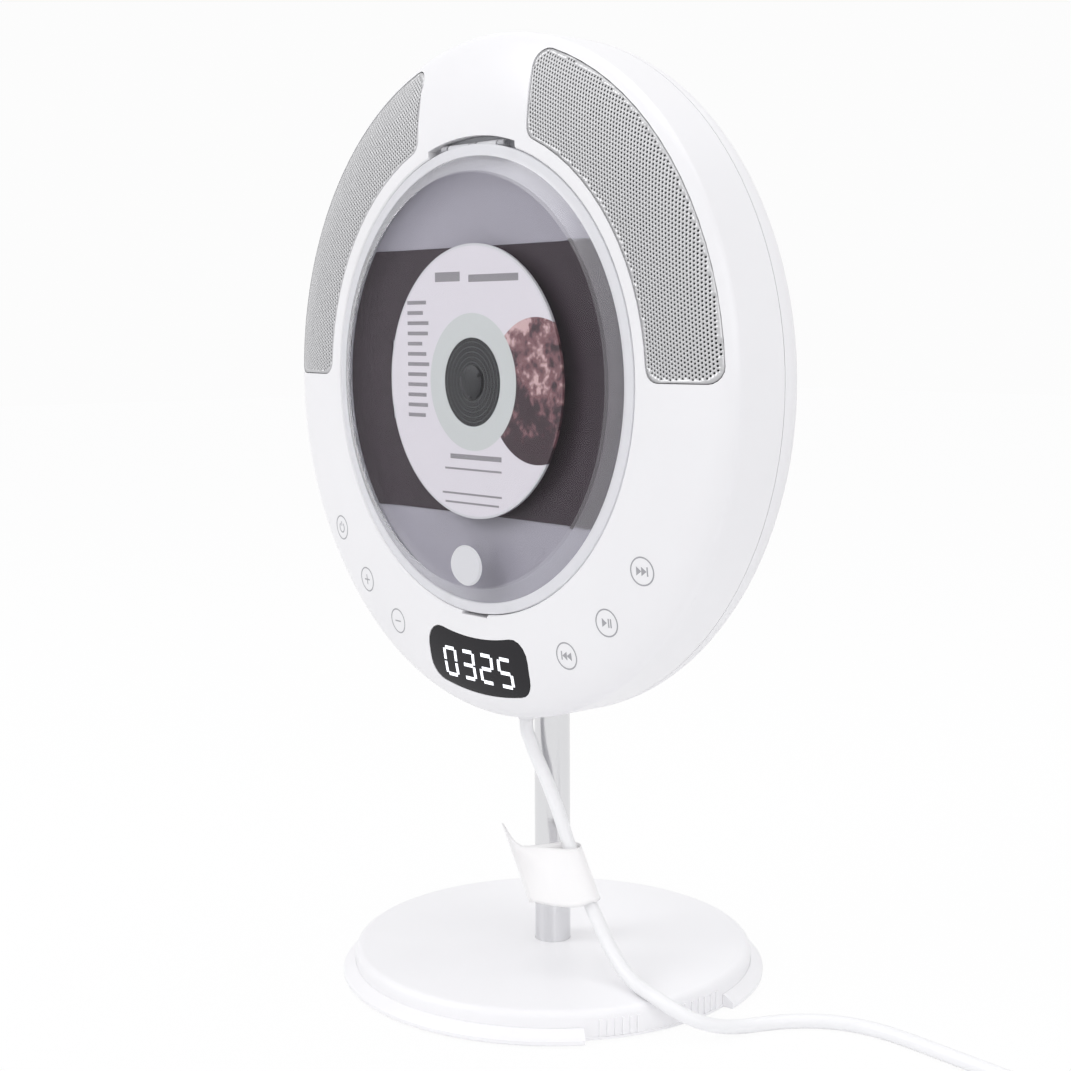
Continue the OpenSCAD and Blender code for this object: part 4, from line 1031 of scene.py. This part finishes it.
@dataclass
class GrilleSheet:
    """A perforated metal sheet that follows the ring, with staggered round holes."""

    side: Side
    ring: RingForm = RingForm()
    inner: float = 109.0
    outer: float = 145.3
    end_x: float = 37.5
    low: float = 1.7
    corner: float = 6.5
    gap: float = 0.3
    border: float = 0.65
    pitch: float = 1.73
    hole: float = 1.0
    slant: float = 6.0
    sides: int = 8
    corner_steps: int = 8
    outer_steps: int = 60
    inner_steps: int = 46
    sunk: float = 0.25
    thickness: float = 0.6

    def outline(self, grow: float) -> Array:
        """Outline of the right sheet: two arcs, a level lower edge, an upright end and four rounded corners.

        Args:
            grow: Distance by which the outline is widened.

        Returns:
            The outline's points.
        """
        c, ri, ro = self.corner, self.inner - grow, self.outer + grow
        low, end = self.low - grow + c, self.end_x - grow + c
        middles = ((leg(ro - c, low), low), (end, leg(ro - c, end)),
                   (end, leg(ri + c, end)), (leg(ri + c, low), low))
        angles = [math.degrees(math.atan2(y, x)) for x, y in middles]
        joined = np.vstack([
            arc(c, -90, angles[0], self.corner_steps, middles[0]),
            arc(ro, angles[0], angles[1], self.outer_steps),
            arc(c, angles[1], 180, self.corner_steps, middles[1]),
            arc(c, 180, angles[2] + 180, self.corner_steps, middles[2]),
            arc(ri, angles[2], angles[3], self.inner_steps),
            arc(c, angles[3] + 180, 270, self.corner_steps, middles[3]),
        ])
        apart = 1e-4
        return joined[np.linalg.norm(joined - np.roll(joined, 1, axis=0), axis=1) > apart]

    def hole_centres(self) -> Array:
        """Centres of the holes: columns pitch sqrt(3) / 2 apart, every other one half a pitch higher.

        Returns:
            The centres, turned by the slant, whose whole hole lies inside the outline.
        """
        step = self.pitch * math.sqrt(3) / 2
        count = np.arange(-int(self.outer / step), int(self.outer / step) + 1)
        column, row = (index.ravel() for index in np.meshgrid(count, count, indexing="ij"))
        across, along = column * step, (row + (column % 2) / 2) * self.pitch
        turn = math.radians(self.slant)
        x = across * math.cos(turn) - along * math.sin(turn)
        y = across * math.sin(turn) + along * math.cos(turn)
        centres = np.stack([x, y], -1)
        return centres[points_inside(centres, self.outline(-self.hole / 2 - self.border - self.gap))]

    def perforated(self) -> tuple[Array, Array]:
        """Triangulates the flat sheet between its outline and its holes.

        Returns:
            The points in millimetres, and the faces.
        """
        rim, centres = self.outline(-self.gap), self.hole_centres()
        holes = (centres[:, None, :] + circle(self.hole / 2, self.sides)[None, :, :]).reshape(-1, 2)
        first = len(rim)
        starts = first + np.arange(len(centres))[:, None, None] * self.sides
        edges = np.vstack([closed_loop(first), (starts + closed_loop(self.sides)[None]).reshape(-1, 2)])
        flat = [Vector(point) for point in np.vstack([rim, holes]).tolist()]
        inside_only, near = 1, 1e-6
        points, _, faces, sources, *_ = delaunay_2d_cdt(flat, edges.tolist(), [], inside_only, near)
        # A triangle with all its corners on one hole fills that hole. A point of the rim is its own owner.
        origin = np.array([source[0] if source else -1 for source in sources])
        owner = np.where(origin >= first, (origin - first) // self.sides, -1 - np.arange(len(origin)))
        triangles = np.array(faces)
        a, b, c = owner[triangles].T
        LOG.info("the %s grille has %d holes", self.side.name.lower(), len(centres))
        return np.array([tuple(point) for point in points]), triangles[(a != b) | (b != c)]

    def build(self, shelf: FinishShelf) -> None:
        """Lays the perforated sheet on the ring, on the right or as its mirror image on the left.

        Args:
            shelf: The finishes.
        """
        flat, faces = self.perforated()
        points = self.ring.lay(flat[:, 0] * self.side.value, flat[:, 1], -self.sunk)
        name = f"{self.side.name.lower()}_grille"
        outwards = faces if self.side is Side.RIGHT else faces[:, ::-1]
        piece = make_piece(f"{name}_sheet", points, outwards, "root", closed=False)
        thicken(piece, self.thickness, -1.0)
        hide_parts(name)
        shelf.dress(piece, "grille_metal")


class KeySign(Enum):
    """Generic signs on the touch keys."""

    STANDBY = "standby"
    PLUS = "plus"
    MINUS = "minus"
    NEXT = "next"
    PLAY = "play"
    PREVIOUS = "previous"


@dataclass
class TouchKeys:
    """Printed rings and signs of the touch keys, thin layers of ink that follow the ring."""

    ring: RingForm = RingForm()
    distance: float = 128.3
    key_radius: float = 5.7
    key_sides: int = 60
    line: float = 0.62
    ink: float = 0.04
    arm: float = 2.4
    half_height: float = 1.9
    wedge_length: float = 2.6
    left: tuple[tuple[float, KeySign], ...] = (
        (214.6, KeySign.STANDBY), (228.6, KeySign.PLUS), (242.1, KeySign.MINUS))
    right: tuple[tuple[float, KeySign], ...] = (
        (-34.6, KeySign.NEXT), (-48.6, KeySign.PLAY), (-62.1, KeySign.PREVIOUS))

    def stroke(self, line: Array, closed: bool = False) -> tuple[Array, Array]:
        """A band of ink along a line: each point moved by half the line's width to either side.

        Args:
            line: The line's points.
            closed: Whether the last point joins the first.

        Returns:
            The band's points and faces.
        """
        if closed:
            along = np.roll(line, -1, axis=0) - np.roll(line, 1, axis=0)
        else:
            along = np.gradient(line, axis=0)
        along /= np.linalg.norm(along, axis=1, keepdims=True)
        square = np.stack([-along[:, 1], along[:, 0]], -1) * self.line / 2
        points = np.stack([line - square, line + square], 1).reshape(-1, 2)
        count = len(line)
        i = np.arange(count if closed else count - 1)
        j = (i + 1) % count
        return points, np.stack([2 * i, 2 * j, 2 * j + 1, 2 * i + 1], -1)

    def bar(self, start: tuple[float, float], stop: tuple[float, float]) -> tuple[Array, Array]:
        """A straight stroke in five stretches, so that it can follow the ring."""
        return self.stroke(np.linspace(start, stop, 6))

    def upright(self, x: float) -> tuple[Array, Array]:
        """An upright stroke as high as a wedge."""
        return self.bar((x, -self.half_height), (x, self.half_height))

    def wedge(self, x: float, way: int) -> tuple[Array, Array]:
        """A triangle from its upright side at x to its point.

        Args:
            x: Place of the upright side.
            way: 1 where it points to the right, -1 where it points to the left.

        Returns:
            Its points and its face.
        """
        tip = x + self.wedge_length * way
        corners = np.array([[x, -self.half_height], [tip, 0.0], [x, self.half_height]])
        return corners, np.array([[0, 1, 2] if way > 0 else [0, 2, 1]])

    def skip(self, way: int) -> list[tuple[Array, Array]]:
        """Two wedges and a stroke, to the right for way 1 and to the left for way -1."""
        return [self.wedge(-2.9 * way, way), self.wedge(-0.3 * way, way), self.upright(2.7 * way)]

    def sign(self, kind: KeySign) -> list[tuple[Array, Array]]:
        """The bands and triangles of a sign, about the key's centre.

        Args:
            kind: The sign.

        Returns:
            Points and faces of each of its parts.
        """
        level = self.bar((-self.arm, 0), (self.arm, 0))
        parts: dict[KeySign, list[tuple[Array, Array]]] = {
            KeySign.STANDBY: [self.stroke(arc(2.3, 125, 415, 24)), self.bar((0, 0.7), (0, 3.0))],
            KeySign.PLUS: [level, self.bar((0, -self.arm), (0, self.arm))],
            KeySign.MINUS: [level],
            KeySign.NEXT: self.skip(1),
            KeySign.PLAY: [self.wedge(-2.4, 1), self.upright(1.1), self.upright(2.3)],
            KeySign.PREVIOUS: self.skip(-1),
        }
        return parts[kind]

    def build(self, shelf: FinishShelf) -> None:
        """Prints both rows of keys on the ring.

        Args:
            shelf: The finishes.
        """
        ring = self.stroke(circle(self.key_radius, self.key_sides), True)
        for name, row in (("left_key_prints", self.left), ("right_key_prints", self.right)):
            points: list[Array] = []
            faces: list[Array] = []
            start = 0
            for angle, kind in row:
                t = math.radians(angle)
                centre = np.array([math.cos(t), math.sin(t)]) * self.distance
                for spots, corners in [ring, *self.sign(kind)]:
                    points.append(spots + centre)
                    faces += list(corners + start)
                    start += len(spots)
            flat = np.vstack(points)
            printed = self.ring.lay(flat[:, 0], flat[:, 1], self.ink)
            shelf.dress(make_piece(name, printed, faces, "root", closed=False), "key_print")


@dataclass
class ClearCover:
    """The hinged clear cover: a flat middle, a rounded bevel and a frosted flange, thinner at the hinge."""

    radius: float = 102.15
    clear_radius: float = 90.5
    centre_radius: float = 0.5
    middle_radius: float = 40.0
    rise: float = 4.6
    rim: float = 0.3
    flange: float = 4.5
    wall: float = 2.0
    flange_back: float = -2.1
    # Over the hinge, as far as hood_x to either side, the flange is a thin hood.
    hood_x: float = 27.0
    hood_wide: float = 4.0
    hood_back: float = -0.22
    # How far inside the profile's corners the finish changes.
    bevel_lap: float = 0.2
    flange_lap: float = 0.9
    steps: int = 240
    smooth: float = 40.0
    hinge_y: float = 101.4
    hinge_f: float = -1.8
    barrel_radius: float = 1.5
    barrel_length: float = 13.5
    barrel_starts: tuple[float, ...] = (-16.5, 3.0)
    barrel_ease: float = 0.3
    barrel_shrink: float = 0.94
    barrel_steps: int = 32

    def profile(self) -> tuple[Array, Array]:
        """Section of the cover from the axis out over the front and back to the axis, with eased corners.

        Returns:
            Radii and heights f.
        """
        edge, foot, clear = self.radius, self.radius - self.flange, self.clear_radius
        rise, rim, back, under = self.rise, self.rim, self.flange_back, self.rise - self.wall
        front = [(self.centre_radius, rise), (self.middle_radius, rise), (clear - 2.5, rise),
                 (clear - 0.6, rise - 0.1), (clear + 0.9, rise - 0.7), (foot - 2.0, rim + 1.5),
                 (foot - 0.4, rim + 0.35), (foot + 1.2, rim + 0.05), (edge - 0.9, rim),
                 (edge - 0.25, rim - 0.2), (edge, rim - 0.8)]
        rear = [(edge, back + 0.3), (edge - 0.3, back), (edge - 3.75, back), (foot - 1.2, back),
                (clear, under), (clear - 2.5, under), (self.middle_radius, under),
                (self.centre_radius, under)]
        radius, height = np.array(front + rear).T
        return radius, height

    def build(self, shelf: FinishShelf) -> None:
        """Turns the section about the disc's axis, and leaves only a thin hood of the flange over the hinge.

        Args:
            shelf: The finishes.
        """
        radius, height = self.profile()
        turn = np.radians(np.arange(self.steps) * 360 / self.steps)
        over_hinge = (np.sin(turn) > 0.5) & (np.abs(np.cos(turn)) * self.radius < self.hood_x)
        hood = over_hinge[None, :] & (radius > self.radius - self.hood_wide)[:, None]
        lifted = np.where(hood, np.maximum(height[:, None], self.hood_back), height[:, None])
        points = head_points(radius[:, None] * np.cos(turn), radius[:, None] * np.sin(turn), lifted)
        faces = tube_faces(len(radius), self.steps)
        piece = make_piece("clear_cover", points, faces, "cover", self.smooth)
        shelf.dress(piece, "clear_plastic", "cover_bevel", "frosted_plastic")
        piece.data.polygons.foreach_set("material_index", self.zones(points, faces))
        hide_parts("cover_bezel", "cover_window")
        self.barrels(shelf)

    def zones(self, points: Array, faces: list[list[int]]) -> Array:
        """Material slots by the distance from the axis: 0 in the middle, 1 on the bevel, 2 on the flange.

        Args:
            points: The cover's points in metres.
            faces: Its faces, the last two of which close it at the axis.

        Returns:
            The slot of each face.
        """
        centres = points.reshape(-1, 3)[np.array(faces[:-2])].mean(1)
        distance = np.hypot(centres[:, 0], centres[:, 2] - HEAD_HEIGHT * MM) / MM
        on_bevel = distance > self.clear_radius - self.bevel_lap
        on_flange = distance > self.radius - self.flange - self.flange_lap
        return np.append(on_bevel.astype(np.int32) + on_flange, [0, 0]).astype(np.int32)

    def barrels(self, shelf: FinishShelf) -> None:
        """The hinge barrels that turn on the pin, each three quarters of a tube with a web to the flange.

        Args:
            shelf: The finishes.
        """
        turn = np.radians(np.linspace(0, 270, self.barrel_steps + 1))
        round_part = np.stack([self.hinge_y + self.barrel_radius * np.sin(turn),
                               self.hinge_f + self.barrel_radius * np.cos(turn)], -1)
        web = [(self.hinge_y - 3.5, self.hinge_f), (self.hinge_y - 3.5, self.hinge_f + 1.4),
               (self.hinge_y - 0.2, self.hinge_f + 1.5)]
        section = np.vstack([round_part, web])
        length, ease = self.barrel_length, self.barrel_ease
        along = np.array([0, ease, length - ease, length])[:, None]
        shrink = np.array([self.barrel_shrink, 1.0, 1.0, self.barrel_shrink])[:, None]
        y = self.hinge_y + (section[None, :, 0] - self.hinge_y) * shrink
        f = self.hinge_f + (section[None, :, 1] - self.hinge_f) * shrink
        for number, start in enumerate(self.barrel_starts, 1):
            grid = head_points(start + along, y, f)
            shelf.dress(sweep(f"cover_barrel_{number}", grid, "cover"), "frosted_plastic")


@dataclass
class PowerCord:
    """The white power cord: out of the pull sleeve, down to the base, over its edge and away to a coil."""

    diameter: float = 6.2
    sides: int = 14
    stretch_points: int = 3
    exit: Place = (0.0, -15.5, 145.7225)
    turns: int = 3
    last_turn: float = 0.25
    climb_turns: float = 0.5
    coil_mean: float = 34.0
    pitch: float = 6.9
    rise: float = 6.9
    coil_low: float = 4.2
    coil_x: float = 290.0
    entry_y: float = 48.0
    steps_turn: int = 24
    # The cord's end, from the coil to the plug: how far it has gone, and how far down, at each of its points.
    way_down: tuple[tuple[float, float], ...] = (
        (8, 0.1), (16, 0.6), (24, 1.7), (31, 3), (37, 3.8), (43, 4), (52, 4))

    def free_route(self) -> Array:
        """Points of the stretch that shows, as the part's source gives them.

        Returns:
            The points in millimetres.
        """
        return np.array([
            self.exit, (0, -15.5, 135.5), (0, -15.5, 124.5), (0, -15.5, 116), (1, -14.6, 111.5),
            (3.6, -13.2, 104), (8, -12.4, 96.5), (13, -12.2, 88.5), (18, -12.3, 80.5), (22.6, -12.5, 72.5),
            (27, -12.7, 64.5), (31.6, -13, 56.8), (36.6, -13.5, 49.6), (42.2, -14.2, 42.8), (48.2, -15, 36.4),
            (54.4, -16, 30.4), (61, -17, 25), (68.6, -18.2, 20.4), (77, -19.6, 17.6), (85, -21.2, 17),
            (92, -22, 16.4), (98.5, -21, 14.4), (104, -17.8, 11.4), (108.4, -13, 8.6), (111.6, -7, 6.2),
            (113.8, 0, 4.4), (116, 7.6, 3.4), (119.2, 16, 3.2), (124, 25, 3.2), (130.6, 33.4, 3.2),
            (138.6, 40, 3.2), (148.4, 44.6, 3.2), (160, 47.2, 3.2), (173, 48, 3.2), (188, 48, 3.2),
            (204, 48, 3.2), (220, 48, 3.2), (236, 48, 3.7), (250, 48, 4.2), (262, 48, 4.2), (270, 48, 4.2),
            (280, 48, 4.2)])

    def coil(self) -> Array:
        """Points of the coil: a spiral that winds in, climbs a layer in half a turn and winds out on top.

        Returns:
            The points in millimetres.
        """
        wide = self.coil_mean + self.pitch * self.turns / 2
        t = np.arange(int(self.steps_turn * (2 * self.turns + self.last_turn)) + 1) / self.steps_turn
        back = self.turns + self.last_turn
        r = np.where(t <= back, wide - self.pitch * t, wide - self.pitch * (2 * back - t))
        z = self.coil_low + self.rise * np.clip((t - self.turns) / self.climb_turns, 0, 1)
        a = np.radians(90 - 360 * t)
        round_part = np.stack([self.coil_x + r * np.cos(a), self.entry_y - wide + r * np.sin(a), z], -1)
        return np.vstack([round_part, round_part[-1] - np.insert(self.way_down, 0, 0.0, axis=1)])

    def build(self, shelf: FinishShelf) -> None:
        """Args:
            shelf: The finishes.
        """
        line = smooth_line(np.vstack([self.free_route(), self.coil()]), self.stretch_points) * MM
        piece = sweep("mains_cord", tube_grid(line, self.diameter / 2 * MM, self.sides), "root")
        shelf.dress(piece, "cord_white")
        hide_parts("power_cord", "cord_coil")
        tag = PaperTag().build(shelf)
        plug = shelf.dress(smoothed_copy("power_plug", "root"), "cord_white")


@dataclass
class PaperTag:
    """A blank flag of white film folded round the cord, with a curl at its free corner."""

    middle: Place = (32.6, -13.1, 55.4)
    across: Place = (-0.647, -0.763, 0.0)
    toward: Place = (0.763, -0.647, 0.0)
    down: Place = (0.569, -0.057, -0.82)
    height: float = 25.5
    film: float = 0.25
    line: tuple[tuple[float, float], ...] = (
        (26, 5.2), (24, 3.2), (20, 1.8), (15, 2.2), (9, 3.9), (4, 5.1), (0, 5.5), (-4, 4.1), (-5.6, 0),
        (-4, -4.2), (0, -5.6), (5, -4.6), (11, -1.7), (17, -0.1), (22, 0.5))
    stretch_points: int = 5
    rows: int = 15
    smooth: float = 60.0
    curl: float = 18.0
    curl_reach: float = 0.075
    curl_share: float = 0.2
    sag: float = 3.0
    sag_start: float = 0.05
    sag_reach: float = 0.4
    sag_share: float = 0.3
    bend: float = 1.2
    bend_middle: float = 0.15
    bend_reach: float = 0.12

    def build(self, shelf: FinishShelf) -> Piece:
        """Makes the flag: a line round the cord, carried down along it, with a raised corner at the free end.

        The parameters are the run along the line and the share of the height. The curl fades as exp(-run^2),
        the sag is half a sine wave of the run, and the bend is a sine wave of the share, about one run.

        Args:
            shelf: The finishes.

        Returns:
            The flag.
        """
        line = smooth_line(np.array(self.line, float), self.stretch_points)
        run = np.linspace(0, 1, len(line))[:, None]
        share = np.linspace(-0.5, 0.5, self.rows)[None, :]
        curl = self.curl * np.exp(-((run / self.curl_reach) ** 2)) * np.clip(self.curl_share - share, 0, 1)
        sagging = np.sin(np.pi * np.clip((run - self.sag_start) / self.sag_reach, 0, 1))
        drop = share * self.height - (curl - self.sag * sagging * (share > self.sag_share))
        fade = np.exp(-((run - self.bend_middle) / self.bend_reach) ** 2)
        u, v = line[:, :1], line[:, 1:] + self.bend * np.sin(2 * np.pi * share) * fade
        axes = np.array([self.across, self.toward, self.down])
        points = (np.array(self.middle) + u[..., None] * axes[0] + v[..., None] * axes[1]
                  + drop[..., None] * axes[2]) * MM
        faces = grid_faces(*points.shape[:2], False)
        piece = make_piece("paper_tag", points, faces, "root", self.smooth, closed=False)
        thicken(piece, self.film, 0.0)
        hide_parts("cord_tag")
        return shelf.dress(piece, "tag_paper")


@dataclass
class ReturnSpring:
    """The pull switch's coil spring, between the fixed seat and the sleeve's collar."""

    front: float = 15.5
    low: float = 128.923
    high: float = 139.423
    radius: float = 4.8
    wire: float = 0.4
    wire_sides: int = 8
    turns: int = 6
    turn_steps: int = 20
    flat_turns: float = 0.8
    gap: float = 0.05

    def build(self, shelf: FinishShelf) -> None:
        """Winds the wire: a point turns about the upright axis and climbs, with a flat turn at each end.

        Args:
            shelf: The finishes.
        """
        turn = np.linspace(0, self.turns, self.turns * self.turn_steps + 1)
        foot, head = self.low + self.wire + self.gap, self.high - self.wire - self.gap
        climb = np.interp(turn, [0, self.flat_turns, self.turns - self.flat_turns, self.turns],
                          [foot, foot + 2 * self.wire, head - 2 * self.wire, head])
        angle = 2 * np.pi * turn
        line = np.stack([self.radius * np.cos(angle), self.radius * np.sin(angle) - self.front, climb], -1)
        piece = sweep("spring_coil", tube_grid(line, self.wire, self.wire_sides) * MM, "")
        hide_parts("return_spring")
        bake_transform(piece)
        shelf.dress(piece, "steel")


@dataclass
class CarriedParts:
    """CAD parts that keep their shape: round ones get a smooth skin, and each takes its slot's finish."""

    record: dict
    smooth: tuple[str, ...] = (
        "disc_well", "album_card", "finger_dimple", "hinge_bracket", "hinge_pin", "display_lens", "turntable",
        "spindle_shaft", "pull_sleeve", "pole", "base_cover", "base_plate", "base_feet", "audio_socket",
        "left_cone", "right_cone", "left_speaker_frame", "right_speaker_frame", "objective_lens")
    # Nodes whose finish is not the one that their slot is named for.
    own_finishes: tuple[tuple[str, str], ...] = (
        ("base_cover", "base_white"), ("base_plate", "base_white"), ("hinge_bracket", "hinge_grey"))

    def build(self, shelf: FinishShelf) -> None:
        """Dresses every CAD node that still shows.

        Args:
            shelf: The finishes.
        """
        slots = {part["node"]: part["material_slot"] for part in self.record["subparts"]}
        finishes = slots | dict(self.own_finishes)
        bodies = {node: body for body, nodes in self.record["behaviour"]["bodies"].items() for node in nodes}
        for node, slot in slots.items():
            piece = bpy.data.objects[node]
            if not piece.hide_render:
                piece = smoothed_copy(node, bodies[node]) if node in self.smooth else piece
                shelf.dress(piece, finishes[node])


# Studio


@dataclass(frozen=True)
class SoftLamp:
    """A square soft lamp: its place, the point that it faces and its side in metres, its power in watts."""

    name: str
    at: Place
    aim: Place
    side: float
    power: float

    def build(self) -> None:
        """Makes the lamp and turns it to its aim."""
        data = bpy.data.lights.new(self.name, "AREA")
        data.size, data.energy = self.side, self.power
        lamp = add_object(self.name, data)
        lamp.location = self.at
        lamp.rotation_euler = (Vector(self.aim) - Vector(self.at)).to_track_quat("-Z", "Y").to_euler()


def white_to_camera(tree: Tree, base: bpy.types.Node, share: float, strength: float = 1.0) -> Socket:
    """Mixes a shader with plain white where it is seen directly, in a mirror or through glass.

    Args:
        tree: The node tree.
        base: The shader's node.
        share: Share of white.
        strength: Level of the white.

    Returns:
        The mixed shader's output.
    """
    path, white = tree.nodes.new("ShaderNodeLightPath"), tree.nodes.new("ShaderNodeEmission")
    white.inputs["Strength"].default_value = strength
    seen = math_node(tree, "MAXIMUM", path.outputs["Is Camera Ray"], path.outputs["Is Glossy Ray"])
    seen = math_node(tree, "MAXIMUM", seen, path.outputs["Is Transmission Ray"])
    return mix_shaders(tree, math_node(tree, "MULTIPLY", seen, share), base, white)


@dataclass
class Studio:
    """Floor, backdrop, lamps and the camera at the photograph's viewing angle."""

    camera_at: Place = (0.6062, -0.52365, 0.2988)
    heading: float = 49.70
    pitch: float = 6.76
    roll: float = -0.29
    lens: float = 59.1
    sensor: float = 36.0
    clip: tuple[float, float] = (0.01, 50.0)
    world_light: float = 0.62
    world_colour: Colour = (0.98, 0.98, 1.0)
    world_white: float = 0.975
    floor_colour: Colour = (0.95, 0.95, 0.955)
    floor_roughness: float = 0.6
    floor_white: float = 0.94
    floor_half: float = 6.0
    lamps: tuple[SoftLamp, ...] = (
        SoftLamp("key", (-0.9, -1.5, 1.5), (0, 0, 0.25), 1.2, 14),
        SoftLamp("fill", (1.6, -0.6, 0.9), (0, 0, 0.25), 1.2, 7),
        SoftLamp("top", (0.2, 0.2, 1.8), (0, 0, 0.2), 1.4, 8))

    def camera(self) -> None:
        """Places the camera from its heading, downward pitch and roll in degrees."""
        psi, theta, roll = (math.radians(v) for v in (self.heading, self.pitch, self.roll))
        ahead = math.cos(theta)
        forward = np.array([-math.sin(psi) * ahead, math.cos(psi) * ahead, -math.sin(theta)])
        level = np.array([math.cos(psi), math.sin(psi), 0.0])
        upright = np.cross(level, forward)
        right = math.cos(roll) * level + math.sin(roll) * upright
        up = -math.sin(roll) * level + math.cos(roll) * upright
        data = bpy.data.cameras.new("view")
        data.lens, data.sensor_width, data.sensor_fit = self.lens, self.sensor, "HORIZONTAL"
        data.clip_start, data.clip_end = self.clip
        camera = add_object("view", data)
        axes = np.stack([right, up, -forward, np.array(self.camera_at)], 1)
        camera.matrix_world = Matrix([*axes.tolist(), [0, 0, 0, 1]])
        bpy.context.scene.camera = camera

    def floor(self) -> None:
        """Makes the floor, which looks nearly white and still shows the object's soft shadow."""
        half = self.floor_half
        corners = [(-half, -half, 0), (half, -half, 0), (half, half, 0), (-half, half, 0)]
        mesh = bpy.data.meshes.new("floor")
        mesh.from_pydata(corners, [], [(0, 1, 2, 3)])
        add_object("floor", mesh)
        shade = Shade("floor")
        shade.set(Base_Color=(*self.floor_colour, 1.0), Roughness=self.floor_roughness)
        shade.show(white_to_camera(shade.tree, shade.shader, self.floor_white))
        mesh.materials.append(shade.material)

    def world(self) -> None:
        """Makes the white backdrop, which is brighter to the camera than the light that it gives."""
        world = bpy.data.worlds.new("studio")
        bpy.context.scene.world = world
        world.use_nodes = True
        tree = world.node_tree
        background = tree.nodes["Background"]
        background.inputs["Color"].default_value = (*self.world_colour, 1.0)
        background.inputs["Strength"].default_value = self.world_light
        out = white_to_camera(tree, background, 1.0, self.world_white)
        tree.links.new(out, tree.nodes["World Output"].inputs["Surface"])

    def build(self) -> None:
        """Builds the camera, the floor, the world and the lamps."""
        self.camera()
        self.floor()
        self.world()
        for lamp in self.lamps:
            lamp.build()
        bpy.context.scene.view_settings.view_transform = "Standard"


def main() -> None:
    """Builds every piece in order."""
    logging.basicConfig(level=logging.INFO, format="%(name)s: %(message)s")
    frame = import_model()
    shelf = FinishShelf()
    Studio().build()
    PowerCord().build(shelf)
    Housing().build(shelf)
    for side in Side:
        GrilleSheet(side).build(shelf)
    ClearCover().build(shelf)
    TouchKeys().build(shelf)
    ReturnSpring().build(shelf)
    CarriedParts(frame["record"]).build(shelf)


if __name__ == "__main__":
    main()
